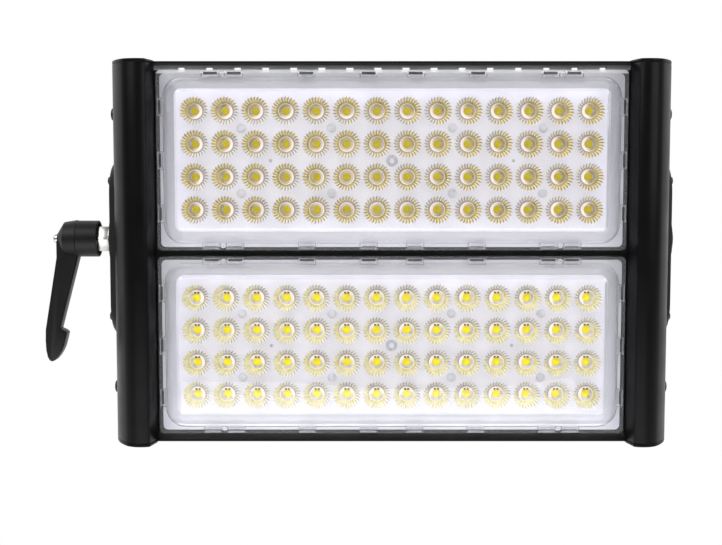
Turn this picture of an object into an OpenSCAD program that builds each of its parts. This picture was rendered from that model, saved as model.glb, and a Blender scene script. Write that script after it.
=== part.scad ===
// Head of a high mast light: two LED modules between two rounded side arms,
// hung in a steel yoke that a clamping lever locks.
// Millimetres. The origin lies on the outer face of the yoke's back bar, +Z is up
// and the light shines towards -Y.

/* [Head] */
// Depth of the side arms from front to back
arm_depth = 90; // [80:1:120]
// Width of one side arm, seen from the front
arm_w = 27.5; // [25:0.5:30]
// Wall of the hollow side arm
arm_wall = 2.5; // [1.5:0.5:4]
// How far the arms stand in front of the lens panes
arm_lead = 6; // [2:1:10]
// Gap between a lens plate and each side arm
side_gap = 1.5; // [1:0.5:4]
// Height of the heat sink's bar above and below the lens plates
edge_bar = 5.9; // [5.5:0.1:12]
// Radius of the arm's nose
nose_r = 12; // [11:0.5:13]
// Radius of the arm's rounded flank
flank_r = 46; // [44:1:60]
// Thickness of an arm's end cap
cap_t = 2.2; // [1.5:0.1:4]

/* [Modules] */
// Width of a lens plate over its rim
lens_w = 288.5; // [280:0.5:300]
// Height of a lens plate over its rim
lens_h = 110.2; // [104:0.2:116]
// Gap between the two lens plates
module_gap = 4; // [2:0.2:8]
// Lenses along a row
lens_cols = 14; // [8:1:14]
// Rows of lenses on one plate
lens_rows = 4; // [2:1:4]
// Distance from a lens plate's side edge to the middle of the first lens
lens_edge_x = 24; // [22:0.25:30]
// Distance from a lens plate's long edge to the first row of lenses
lens_edge_z = 25.1; // [23:0.1:30]
// Diameter of one lens at the pane
cup_d = 16; // [12:0.5:16]
// Diameter of one lens at its LED
cup_end_d = 8; // [7:0.5:9]
// Thickness of the pane and of the plate's rim
pane_t = 2.5; // [2:0.5:3]
// Width of the rim that lies on the gasket
rim_w = 5.5; // [5:0.5:7]
// Sideways run of the slope between rim and pane
slope_w = 7.5; // [5:0.5:8]
// Height of the pane over the rim
pane_rise = 8.5; // [8:0.5:10]
// Thickness of the gasket under the rim
gasket_t = 1; // [0.5:0.5:2]
// Side of a square LED chip
chip_w = 5; // [3:0.5:5]
// Height of an LED chip
chip_t = 0.9; // [0.6:0.1:1.2]
// Thickness of the LED board
board_t = 1.6; // [1:0.1:2]

/* [Heat sinks] */
// Thickness of the heat sink's base
base_t = 5; // [4:0.5:8]
// Depth of the fins behind the base
fin_depth = 43; // [25:1:50]
// Thickness of a fin
fin_t = 2; // [1.5:0.5:3]
// Spacing of the fins
fin_pitch = 7.4; // [6:0.2:12]
// Vent slots in the upper bar
vent_count = 16; // [4:1:16]
// Width of a vent slot
vent_w = 4.4; // [3:0.2:6]
// Height of a vent slot
vent_h = 3; // [2:0.2:3.2]

/* [Pivot] */
// Height of the tilt axis over the middle of the head
pivot_up = 6.4; // [0:0.2:10]
// Distance of the tilt axis behind the lens panes
pivot_back = 62; // [58:1:66]
// Diameter of the pivot stud and bolt
pivot_d = 10; // [8:1:12]
// Radial play of the parts that turn on the pivots
pivot_play = 0.1; // [0.05:0.05:0.2]
// Height of a pivot plate
plate_h = 118; // [100:1:124]
// Width of a pivot plate from front to back
plate_w = 54; // [50:1:58]
// Thickness of a pivot plate
plate_t = 4; // [3:0.5:7]
// Run of the bevel at the plate's ends
plate_bevel = 6; // [4:1:14]
// Distance from a pivot plate's end to its outer bolts
bolt_edge = 16; // [11:1:19]
// Distance of the bolts in front of the tilt axis
bolt_lead = 28; // [27:1:29]
// Diameter of a plate bolt
bolt_d = 3; // [3:0.5:5]

/* [Yoke] */
// Width of the yoke's steel strip
yoke_w = 36; // [30:1:36]
// Thickness of the strip
yoke_t = 4; // [3:0.5:6]
// Clear distance from the tilt axis to the back bar
yoke_reach = 148; // [146:1:200]
// Inner radius of the strip's bends
yoke_bend = 6; // [4:1:12]
// Running gap between a pivot plate and the yoke
yoke_play = 0.6; // [0.4:0.1:1]
// Diameter of a fixing hole in the back bar
fix_d = 13; // [9:0.5:17]
// Spacing of the two fixing holes
fix_pitch = 100; // [60:5:160]

/* [Clamping lever] */
// Diameter of the lever's hub
hub_d = 24.4; // [21:0.2:26]
// Length of the hub along the axis
hub_l = 26; // [24:0.2:32]
// Distance from the axis to the tip of the lever
lever_l = 81; // [60:1:110]
// Thickness of the lever's arm from front to back
lever_t = 11; // [8:0.5:14]
// Width across the flats of the lock nut
nut_af = 16; // [15:0.5:17]
// Height of the lock nut
nut_h = 8.4; // [6:0.2:10]
// Thickness of the washer under the nut
washer_t = 2; // [1.5:0.1:3]

/* [Hidden] */
$fn = 64;

// Cuts run this far past the faces that they open
over = 1;
tray_over = 0.01;
// Fused shapes share this much
blend = 0.5;

// Depths behind the lens panes
rim_y = pane_rise;
gasket_y = rim_y + pane_t;
base_y = gasket_y + gasket_t;
board_y = base_y - board_t;
chip_y = board_y - chip_t;
lens_clear = 0.6;
cup_l = chip_y - lens_clear - pane_t;
cup_waist = 0.5;
cup_well_wall = 1;

// The head's own frame: middle of the head, y = 0 on the lens panes
head_x = lens_w / 2 + side_gap + arm_w;
head_z = lens_h + module_gap / 2 + edge_bar;
arm_in_x = head_x - arm_w;
sink_edge = 0.6;
sink_gap = 0.2;
sink_z0 = sink_gap / 2;
sink_z1 = head_z - sink_edge;
lens_z = (module_gap + lens_h) / 2;
lens_z1 = lens_z + lens_h / 2;
slope_r = 10;
rim_r = 3;
gasket_inset = 2;
gasket_gap = 0.5;

// Patterns that follow the lens plate
lens_pitch_x = (lens_w - 2 * lens_edge_x) / (lens_cols - 1);
lens_pitch_z = (lens_h - 2 * lens_edge_z) / (lens_rows - 1);
vent_end = 15.1;
vent_pitch = (lens_w - 2 * vent_end) / (vent_count - 1);
vent_down = 1.2;
fin_end = 2;

// The bar's front lip: its lead over the base, its height, and its distance from the plate
lip_lead = 3;
lip_t = 1.6;
lip_gap = 0.4;

// The arm's section: u runs inwards from its outer face, d back from its front
nose_u = 19;
chamfer_w = 3;
flank_d = nose_r + sqrt(pow(flank_r - nose_r, 2) - pow(flank_r - nose_u, 2));
chamfer_u = arm_w - chamfer_w;
chamfer_d = 14;

// Pivot stack along x, from the arm outwards
plate_x = head_x + plate_t;
ear_x = plate_x + yoke_play;
washer_gap = 0.1;
washer_x = ear_x + yoke_t + washer_gap;
nut_x = washer_x + washer_t;
hub_gap = 0.4;
hub_x = nut_x + nut_h + hub_gap;
pivot_r = pivot_d / 2;
pivot_hole_r = pivot_r + pivot_play;
hub_end_x = hub_x + hub_l;
hub_wall = 5;
stud_end_x = hub_end_x - hub_wall;
stud_gap = 0.5;
inner_head_t = 4;
button_r = 9;
button_t = 3;

// Places of screws
screw_end = 32;
screw_z = head_z - screw_end;
screw_y = 30;
screw_d = 5;
screw_head_d = 8;
screw_head_t = 2.4;
bolt_head_d = 1.75 * bolt_d;
bolt_head_t = 1.9;
bolt_pitch = plate_h / 2 - bolt_edge;
hole_play = 0.2;
board_gap = 4;
board_r = 3;
board_inset = rim_w + pane_t + board_gap;
board_screw_d = 3;
board_screw_head_d = 5.6;
board_screw_head_t = 1.6;

// A pivot plate's front edge lies this far in front of its bolts, its middle this far over the head's
plate_front = 9;
plate_up = 1.5;
plate_mid_y = pivot_back - bolt_lead - plate_front + plate_w / 2;
plate_r = 18;

// Snap catches on the rim, in lens pitches from the plate's middle
catch_x = [0.77, 2.83, 5.2, 6] * lens_pitch_x;
catch_z = [0, 1.63] * lens_pitch_z;
catch_l = 10.3;
catch_w = 3.2;
catch_t = 1.6;
catch_slot = 1.2;
catch_end = 1;

// Cable gland in the back of the right arm
gland_r = 10;
gland_z = -60;
gland_hex_r = 13;
gland_hex_t = 5;
gland_neck_t = 5;
gland_dome_r = 12;
gland_dome_t = 9;

// Clamping lever: the arm's width at the hub, and the knob's outline from the
// hub's outer end outwards and from the tip up
lever_root_w = 14.2;
knob = [
    [8, 21.1], [8.1, 7.3], [6.3, 1], [4.3, 0], [-0.3, 3.4],
    [-4, 10.6], [-6.1, 18.9], [-4.9, 20.6], [-1.7, 21.8]
];
hub_face_r = 3.2;
hub_bevel_l = 4.6;
shoulder = 1.5;
skirt_l = 1.6;
skirt_t = 1.8;
lever_screw_r = 2.9;
lever_screw_t = 2.4;

origin_y = pivot_back + yoke_reach + yoke_t;

// Moves the head's frame to its place in front of the yoke
module in_head() {
    translate([0, -origin_y, -pivot_up]) children();
}

// The tilt axis as a new x axis
module on_axis() {
    translate([0, -yoke_reach - yoke_t, 0]) children();
}

// Draws a part on the right, or mirrored on the left
module on_side(side) {
    if (side > 0) children();
    else mirror([1, 0, 0]) children();
}

// A rod along +x from x = a to x = b
module rod_x(r, a, b) {
    translate([a, 0, 0]) rotate([0, 90, 0]) cylinder(r = r, h = b - a);
}

module rounded_rect(w, h, r) {
    square([w - 2 * r, h], center = true);
    square([w, h - 2 * r], center = true);
    for (sx = [-1, 1], sy = [-1, 1])
        translate([sx * (w / 2 - r), sy * (h / 2 - r)]) circle(r = r);
}

// Extrudes an x-z outline from y = a to y = b
module slab_y(a, b) {
    translate([0, b, 0]) rotate([90, 0, 0]) linear_extrude(height = b - a) children();
}

// Section of an arm, drawn with u inwards and d backwards
module arm_section(inset) {
    join = (nose_r - inset) / (flank_r - nose_r);
    join_d = nose_r - join * (flank_d - nose_r);
    intersection() {
        union() {
            translate([nose_u, nose_r]) circle(r = nose_r - inset);
            intersection() {
                translate([flank_r, flank_d]) circle(r = flank_r - inset);
                translate([0, join_d]) square([arm_w, flank_d]);
            }
            translate([inset, flank_d])
                square([arm_w - 2 * inset, arm_depth - inset - flank_d]);
        }
        polygon([
            [0, 0], [chamfer_u - inset, 0], [arm_w - inset, chamfer_d],
            [arm_w - inset, arm_depth], [0, arm_depth]
        ]);
    }
}

// Sets a section drawn in u and d on the right side of the head
module right_section() {
    translate([head_x, -arm_lead, 0]) mirror([1, 0, 0]) children();
}

module arm(side) {
    arm_l = 2 * (head_z - cap_t);
    on_side(side) difference() {
        translate([0, 0, -arm_l / 2]) linear_extrude(height = arm_l)
            right_section() difference() {
                arm_section(0);
                arm_section(arm_wall);
            }
        for (s = [-1, 1])
            translate([0, screw_y, s * screw_z])
                rod_x(screw_d / 2 + hole_play, head_x - 2 * arm_wall, head_x + over);
        plate_bolt_places()
            rod_x(bolt_d / 2 + hole_play, head_x - 2 * arm_wall, head_x + over);
        pivot_place()
            rod_x(pivot_hole_r, head_x - 2 * arm_wall, head_x + over);
        if (side > 0)
            gland_place()
                translate([0, -2 * arm_wall, 0]) rotate([-90, 0, 0])
                    cylinder(r = gland_r + hole_play, h = 4 * arm_wall);
    }
}

module end_cap(side, up) {
    on_side(side)
        translate([0, 0, up > 0 ? head_z - cap_t : -head_z])
            linear_extrude(height = cap_t) right_section() arm_section(0);
}

module pivot_place() {
    translate([0, pivot_back, pivot_up]) children();
}

module plate_bolt_places() {
    for (k = [-1, 0, 1])
        translate([0, pivot_back - bolt_lead, plate_up + k * bolt_pitch]) children();
}

module pivot_plate(side) {
    on_side(side) difference() {
        translate([0, 0, plate_up]) intersection() {
            translate([head_x, plate_mid_y, 0]) rotate([90, 0, 90])
                linear_extrude(height = plate_t) rounded_rect(plate_w, plate_h, plate_r);
            slab_y(plate_mid_y - plate_w, plate_mid_y + plate_w)
                polygon([
                    [head_x, -plate_h / 2], [plate_x, -plate_h / 2 + plate_bevel],
                    [plate_x, plate_h / 2 - plate_bevel], [head_x, plate_h / 2]
                ]);
        }
        plate_bolt_places() rod_x(bolt_d / 2 + hole_play, head_x - over, plate_x + over);
        pivot_place() rod_x(pivot_hole_r, head_x - over, plate_x + over);
    }
}

module plate_bolts(side) {
    on_side(side) plate_bolt_places() {
        rod_x(bolt_d / 2, head_x - arm_wall, plate_x);
        rod_x(bolt_head_d / 2, plate_x, plate_x + bolt_head_t);
    }
}

module arm_screws(side) {
    on_side(side) for (s = [-1, 1])
        translate([0, screw_y, s * screw_z]) {
            rod_x(screw_d / 2, head_x - arm_wall, head_x);
            rod_x(screw_head_d / 2, head_x, head_x + screw_head_t);
        }
}

// Draws a module above the middle, or mirrored below it
module on_level(up) {
    if (up > 0) children();
    else mirror([0, 0, 1]) children();
}

module heat_sink(up) {
    fin_count = floor((2 * arm_in_x - fin_t) / fin_pitch);
    fin_x = -fin_count / 2 * fin_pitch - fin_t / 2;
    base_back_y = base_y + base_t;
    lip_y = base_y - lip_lead;
    fin_y = base_back_y - blend;
    fin_z0 = sink_z0 + fin_end;
    vent_x = (1 - vent_count) / 2 * vent_pitch - vent_w / 2;
    on_level(up) difference() {
        union() {
            translate([-arm_in_x, 0, 0]) rotate([90, 0, 90]) linear_extrude(height = 2 * arm_in_x)
                polygon([
                    [base_y, sink_z0], [base_back_y, sink_z0], [base_back_y, sink_z1], [lip_y, sink_z1],
                    [lip_y, sink_z1 - lip_t], [base_y, lens_z1 + lip_gap]
                ]);
            for (i = [0 : fin_count])
                translate([fin_x + i * fin_pitch, fin_y, fin_z0])
                    cube([fin_t, fin_depth + blend, lens_z1 - fin_end - fin_z0]);
        }
        if (up > 0)
            for (i = [0 : vent_count - 1])
                translate([vent_x + i * vent_pitch, lip_y - over, lens_z1 - vent_down])
                    cube([vent_w, lip_lead + base_t + 2 * over, vent_h]);
        board_screw_places() translate([0, base_y - over, 0]) rotate([-90, 0, 0])
            cylinder(r = board_screw_d / 2 + hole_play, h = base_t);
    }
}

module board_screw_places() {
    for (sx = [-2.5, -1, 1, 2.5], sz = [-1, 1])
        translate([sx * 2 * lens_pitch_x, 0, lens_z + sz * lens_pitch_z]) children();
}

module lens_places() {
    for (i = [0 : lens_cols - 1], j = [0 : lens_rows - 1])
        translate([
            (i - (lens_cols - 1) / 2) * lens_pitch_x, 0,
            lens_z + (j - (lens_rows - 1) / 2) * lens_pitch_z
        ]) children();
}

module led_board(up) {
    on_level(up) difference() {
        translate([0, 0, lens_z]) slab_y(board_y, base_y)
            rounded_rect(lens_w - 2 * board_inset, lens_h - 2 * board_inset, board_r);
        board_screw_places() translate([0, board_y - over, 0]) rotate([-90, 0, 0])
            cylinder(r = board_screw_d / 2 + hole_play, h = board_t + 2 * over);
    }
}

module board_screws(up) {
    on_level(up) board_screw_places() {
        translate([0, board_y - board_screw_head_t, 0]) rotate([-90, 0, 0])
            cylinder(r = board_screw_head_d / 2, h = board_screw_head_t);
        translate([0, board_y, 0]) rotate([-90, 0, 0])
            cylinder(r = board_screw_d / 2, h = board_t + base_t / 2);
    }
}

module led_chips(up) {
    on_level(up) lens_places()
        translate([-chip_w / 2, chip_y, -chip_w / 2]) cube([chip_w, chip_t, chip_w]);
}

module gasket(up) {
    hole_inset = board_inset - gasket_gap;
    on_level(up) translate([0, 0, lens_z]) slab_y(gasket_y, base_y) difference() {
        rounded_rect(lens_w - 2 * gasket_inset, lens_h - 2 * gasket_inset, rim_r);
        rounded_rect(lens_w - 2 * hole_inset, lens_h - 2 * hole_inset, board_r + gasket_gap);
    }
}

// A block that narrows evenly towards -Y: the pane in front, its foot on the rim
module sloped_tray(inset, front, back) {
    w = lens_w - 2 * (rim_w + inset);
    h = lens_h - 2 * (rim_w + inset);
    translate([0, back, lens_z]) rotate([90, 0, 0])
        linear_extrude(
            height = back - front, slices = 1,
            scale = [1 - 2 * slope_w / w, 1 - 2 * slope_w / h]
        )
            rounded_rect(w, h, slope_r, $fn = 24);
}

// One lens: a solid cup behind the pane, hollowed over its LED
module lens_cup() {
    difference() {
        rotate([-90, 0, 0]) rotate_extrude()
            polygon([
                [0, pane_t - blend], [cup_d / 2, pane_t - blend], [cup_d / 2, pane_t],
                [(cup_d + cup_end_d) / 4 + cup_waist, pane_t + cup_l / 2],
                [cup_end_d / 2, pane_t + cup_l], [0, pane_t + cup_l]
            ]);
        translate([0, pane_t + cup_l / 2, 0]) rotate([-90, 0, 0])
            cylinder(r = cup_end_d / 2 - cup_well_wall, h = cup_l);
    }
}

module lens_plate(up) {
    on_level(up) {
        difference() {
            union() {
                translate([0, 0, lens_z]) slab_y(rim_y, gasket_y) rounded_rect(lens_w, lens_h, rim_r);
                sloped_tray(0, 0, rim_y);
                catches(rim_y - catch_t, rim_y, catch_l, catch_w);
            }
            sloped_tray(pane_t, pane_t, gasket_y + tray_over);
            catches(rim_y - catch_t - over, gasket_y + over, catch_l - 2 * catch_end, catch_slot);
        }
        lens_places() lens_cup();
    }
}

// Blocks along the rim's edges, from y = a to y = b
module catches(a, b, l, w) {
    edge_x = lens_w / 2 - rim_w / 2;
    edge_z = lens_h / 2 - rim_w / 2;
    for (sz = [-1, 1], sx = [-1, 1], x = catch_x)
        translate([sx * x - l / 2, a, lens_z + sz * edge_z - w / 2]) cube([l, b - a, w]);
    for (sx = [-1, 1], sz = [-1, 1], z = catch_z)
        if (sz > 0 || z > 0)
            translate([sx * edge_x - w / 2, a, lens_z + sz * z - l / 2]) cube([w, b - a, l]);
}

// Rod with a hex head inside the arm, out to the given x
module pivot_rod(end_x) {
    rod_x(pivot_r, head_x - arm_wall - inner_head_t, end_x);
    translate([head_x - arm_wall - inner_head_t, 0, 0]) rotate([0, 90, 0])
        cylinder(r = nut_af / sqrt(3), h = inner_head_t, $fn = 6);
}

module gland_place() {
    translate([head_x - arm_w / 2, arm_depth - arm_lead, gland_z]) children();
}

module yoke() {
    bar_x = ear_x + yoke_t;
    back_y = yoke_reach + yoke_t;
    color("dimgray") on_axis() difference() {
        intersection() {
            translate([0, 0, -yoke_w / 2]) linear_extrude(height = yoke_w) difference() {
                translate([0, back_y / 2 - back_y]) rounded_rect(2 * bar_x, 3 * back_y, yoke_bend + yoke_t);
                translate([0, back_y / 2 - back_y - yoke_t]) rounded_rect(2 * ear_x, 3 * back_y, yoke_bend);
            }
            rod_and_strip(bar_x, back_y);
        }
        rod_x(pivot_hole_r, -bar_x - over, bar_x + over);
        for (s = [-1, 1])
            translate([s * fix_pitch / 2, yoke_reach - over, 0]) rotate([-90, 0, 0])
                cylinder(r = fix_d / 2, h = yoke_t + 2 * over);
    }
}

// Side view of the yoke's strip, with a round end about the tilt axis
module rod_and_strip(bar_x, back_y) {
    rod_x(yoke_w / 2, -bar_x, bar_x);
    translate([-bar_x, 0, -yoke_w / 2]) cube([2 * bar_x, back_y, yoke_w]);
}

module left_pivot_stud() {
    color("silver") on_axis() on_side(-1) pivot_rod(stud_end_x);
}

module right_pivot_bolt() {
    color("black") on_axis() {
        pivot_rod(washer_x);
        rod_x(button_r, washer_x, washer_x + button_t);
    }
}

module left_pivot_washer() {
    color("silver") on_axis() on_side(-1) difference() {
        rod_x(pivot_d, washer_x, nut_x);
        rod_x(pivot_hole_r, washer_x - over, nut_x + over);
    }
}

module left_pivot_nut() {
    color("silver") on_axis() on_side(-1) difference() {
        translate([nut_x, 0, 0]) rotate([0, 90, 0]) cylinder(r = nut_af / sqrt(3), h = nut_h, $fn = 6);
        rod_x(pivot_hole_r, nut_x - over, nut_x + nut_h + over);
    }
}

module cable_gland() {
    color("black") in_head() gland_place() rotate([-90, 0, 0]) {
        translate([0, 0, -arm_wall]) cylinder(r = gland_r, h = arm_wall);
        cylinder(r = gland_hex_r, h = gland_hex_t, $fn = 6);
        translate([0, 0, gland_hex_t]) cylinder(r = gland_r, h = gland_neck_t);
        translate([0, 0, gland_hex_t + gland_neck_t]) cylinder(r = gland_dome_r, h = gland_dome_t);
    }
}

// Seen from the front: the lever's arm leaves the hub downwards and leans outwards
module lever_outline() {
    root = hub_end_x - lever_root_w;
    polygon(concat(
        [[root, 0], [hub_end_x - shoulder, 0], [hub_end_x, -shoulder], [hub_end_x, -hub_d / 2]],
        [for (p = knob) [hub_end_x + p[0], p[1] - lever_l]],
        [[root, -hub_d / 2]]
    ));
}

module lever_handle() {
    color([0.1, 0.1, 0.1]) on_axis() on_side(-1) difference() {
        union() {
            rotate([0, 90, 0]) rotate_extrude()
                polygon([
                    [0, hub_x], [hub_d / 2, hub_x], [hub_d / 2, hub_end_x - hub_bevel_l],
                    [hub_face_r, hub_end_x], [0, hub_end_x]
                ]);
            rod_x(hub_d / 2, hub_x - skirt_l, hub_x + blend);
            slab_y(-lever_t / 2, lever_t / 2) lever_outline();
        }
        rod_x(hub_d / 2 - skirt_t, hub_x - skirt_l - over, hub_x);
        rod_x(pivot_hole_r, hub_x - over, stud_end_x + stud_gap);
    }
}

module lever_screw() {
    color("silver") on_axis() on_side(-1) rod_x(lever_screw_r, hub_end_x, hub_end_x + lever_screw_t);
}

module left_arm() { color([0.06, 0.06, 0.06]) in_head() arm(-1); }
module right_arm() { color([0.06, 0.06, 0.06]) in_head() arm(1); }
module left_top_cap() { color([0.05, 0.05, 0.05]) in_head() end_cap(-1, 1); }
module left_bottom_cap() { color([0.05, 0.05, 0.05]) in_head() end_cap(-1, -1); }
module right_top_cap() { color([0.05, 0.05, 0.05]) in_head() end_cap(1, 1); }
module right_bottom_cap() { color([0.05, 0.05, 0.05]) in_head() end_cap(1, -1); }
module left_pivot_plate() { color([0.05, 0.05, 0.05]) in_head() pivot_plate(-1); }
module right_pivot_plate() { color([0.05, 0.05, 0.05]) in_head() pivot_plate(1); }
module left_plate_bolts() { color("black") in_head() plate_bolts(-1); }
module right_plate_bolts() { color("black") in_head() plate_bolts(1); }
module left_arm_screws() { color("black") in_head() arm_screws(-1); }
module right_arm_screws() { color("black") in_head() arm_screws(1); }
module upper_heat_sink() { color([0.08, 0.08, 0.08]) in_head() heat_sink(1); }
module lower_heat_sink() { color([0.08, 0.08, 0.08]) in_head() heat_sink(-1); }
module upper_led_board() { color("white") in_head() led_board(1); }
module lower_led_board() { color("white") in_head() led_board(-1); }
module upper_board_screws() { color("silver") in_head() board_screws(1); }
module lower_board_screws() { color("silver") in_head() board_screws(-1); }
module upper_led_chips() { color("gold") in_head() led_chips(1); }
module lower_led_chips() { color("gold") in_head() led_chips(-1); }
module upper_gasket() { color("gainsboro") in_head() gasket(1); }
module lower_gasket() { color("gainsboro") in_head() gasket(-1); }
module upper_lens_plate() { color("lightgray") in_head() lens_plate(1); }
module lower_lens_plate() { color("lightgray") in_head() lens_plate(-1); }

yoke();
left_arm();
right_arm();
left_top_cap();
left_bottom_cap();
right_top_cap();
right_bottom_cap();
left_pivot_plate();
right_pivot_plate();
left_plate_bolts();
right_plate_bolts();
left_arm_screws();
right_arm_screws();
upper_heat_sink();
lower_heat_sink();
upper_led_board();
lower_led_board();
upper_board_screws();
lower_board_screws();
upper_led_chips();
lower_led_chips();
upper_gasket();
lower_gasket();
upper_lens_plate();
lower_lens_plate();
left_pivot_stud();
left_pivot_washer();
left_pivot_nut();
right_pivot_bolt();
cable_gland();
lever_handle();
lever_screw();
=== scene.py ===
"""Finished pieces of a high mast light's head: two LED modules between rounded side arms, in a yoke."""

import functools
import math

import bmesh
import bpy
from bmesh.types import BMEdge, BMFace, BMVert
from bpy.props import FloatProperty, FloatVectorProperty, IntProperty, PointerProperty
from mathutils import Matrix, Vector


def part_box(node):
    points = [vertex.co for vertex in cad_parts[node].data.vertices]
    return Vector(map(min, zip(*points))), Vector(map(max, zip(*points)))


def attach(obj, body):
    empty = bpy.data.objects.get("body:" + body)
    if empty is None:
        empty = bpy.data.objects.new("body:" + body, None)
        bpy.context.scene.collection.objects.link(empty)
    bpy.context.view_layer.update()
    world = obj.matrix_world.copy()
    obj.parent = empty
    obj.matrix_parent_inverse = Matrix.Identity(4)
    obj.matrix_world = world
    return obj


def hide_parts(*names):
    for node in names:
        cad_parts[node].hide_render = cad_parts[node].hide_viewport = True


bl_info = {
    "name": "High mast light head",
    "version": (1, 0, 0),
    "blender": (4, 5, 0),
    "location": "3D View > Sidebar > Mast light",
    "description": "Dresses the light head with its finished pieces, materials and stage",
    "category": "Object",
}

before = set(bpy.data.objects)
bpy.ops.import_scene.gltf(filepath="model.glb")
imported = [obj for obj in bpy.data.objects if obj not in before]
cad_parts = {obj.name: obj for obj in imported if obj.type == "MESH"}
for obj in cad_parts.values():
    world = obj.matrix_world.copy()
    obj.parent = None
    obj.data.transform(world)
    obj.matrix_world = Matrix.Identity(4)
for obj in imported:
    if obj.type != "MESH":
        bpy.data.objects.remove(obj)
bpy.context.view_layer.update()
MERGE = 1e-6
FULL_TURN = 2 * math.pi
LEVELS = {"upper": 1, "lower": -1}
SIDES = {"left": -1, "right": 1}
ALONG_X = Matrix.Rotation(math.radians(90), 4, "Y")
TO_FRONT = Matrix.Rotation(math.radians(90), 4, "X")
TO_SIDE = Matrix.Rotation(math.radians(90), 4, "Z") @ TO_FRONT
FRONT = (0.0, -1.0, 0.0)
EVEN = (1.0, 1.0, 1.0)
VALUE, VECTOR, COLOUR = "NodeSocketFloat", "NodeSocketVector", "NodeSocketColor"
GREY, WHITE = (0.5, 0.5, 0.5, 1.0), (1.0, 1.0, 1.0, 1.0)
GRAIN_DEPTH = 0.0001

# Small fittings, in metres; a turned profile has points (along, radius)

CORNER_STEPS = 8
COLUMNS, ROWS = 14, 4
BOARD_EDGE = 0.0002
SCREW_R = 0.0028
SCREW_COLUMNS = (-1.0, -0.4, 0.4, 1.0)
PAD_RING = ((0.0, 0.0015), (0.0, 0.0036), (0.0005, 0.0034), (0.0006, 0.0017), (0.0, 0.0015))
PAD_DOT = ((0.0, 0.0011), (0.0007, 0.0009), (0.0009, 0.0))
PAD_DOT_X = 0.0745
MARK_X = 0.001
MARK_LOW, MARK_HIGH = Vector((-0.0006, -0.0011, 0.0)), Vector((0.0006, 0.0004, 0.001))
RIM_CLEAR, HAZE_CLEAR = 0.965, 0.579
HAZE_W = 0.0021
CATCH_W, CATCH_T, CATCH_LIFT, CATCH_ROOT = 0.011, 0.004, 0.0016, 0.0002
CATCH_SEAT, SLOT_SHIFT = 0.00275, 0.0007
CATCH_COLUMNS = (0.0143, 0.0523, 0.0965, 0.111)
CATCH_ROWS = (-0.0326, 0.0, 0.0326)
BOSS = ((-0.0002, 0.0017), (0.0006, 0.0016), (0.0011, 0.001), (0.0012, 0.0))
YOKE_EDGE = 0.0005
THREAD_R, THREAD_END = 0.005, 0.001
HEX_T = 0.004
BUTTON_R, BUTTON_T = 0.009, 0.003
GLAND_EDGE = 0.0006
GLAND_HEX_T, GLAND_NECK_T, GLAND_NECK_R = 0.005, 0.005, 0.01
GLAND_DOME_R, GLAND_BORE_R, GLAND_BORE_L = 0.012, 0.0055, 0.003
GLAND_RIBS = 12
RIB_HALF, RIB_LOW, RIB_HIGH = 0.0007, 0.011, 0.0124
RIB_START, RIB_END = 0.0004, 0.0042
HUB_STEP = 0.0003
LEVER_EDGE = 0.0012
KNOB = (
    (0.008, 0.0211), (0.0082, 0.014), (0.0079, 0.0073), (0.0069, 0.0028), (0.0056, 0.0006),
    (0.0041, 0.0), (0.0021, 0.0008), (-0.0003, 0.0034), (-0.0025, 0.007), (-0.004, 0.0106),
    (-0.0053, 0.0156), (-0.0061, 0.0189), (-0.0047, 0.0204), (-0.0017, 0.0218),
)

# Stage, in metres

LAMPS = (
    ("Key", (-1.2, -1.5, 1.6), 1.5),
    ("Fill", (1.4, -1.5, 0.8), 1.4),
    ("Low", (-0.1, -0.95, -0.85), 1.3),
)
LAMP_AIM = Vector((0.0, -0.2, 0.0))
FLOOR_SIZE, FLOOR_Y = 6.0, 4.0


def length(name, description, default):
    """A size that a user may change, in metres."""
    return FloatProperty(name=name, description=description, default=default, min=0.0, unit="LENGTH")


def colour(name, description, default):
    """A colour that a user may change."""
    return FloatVectorProperty(
        name=name, description=description, default=default, size=3, min=0.0, max=1.0, subtype="COLOR"
    )


def power(name, description, default):
    """A lamp's power that a user may change, in watts."""
    return FloatProperty(name=name, description=description, default=default, min=0.0, unit="POWER")


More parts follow.
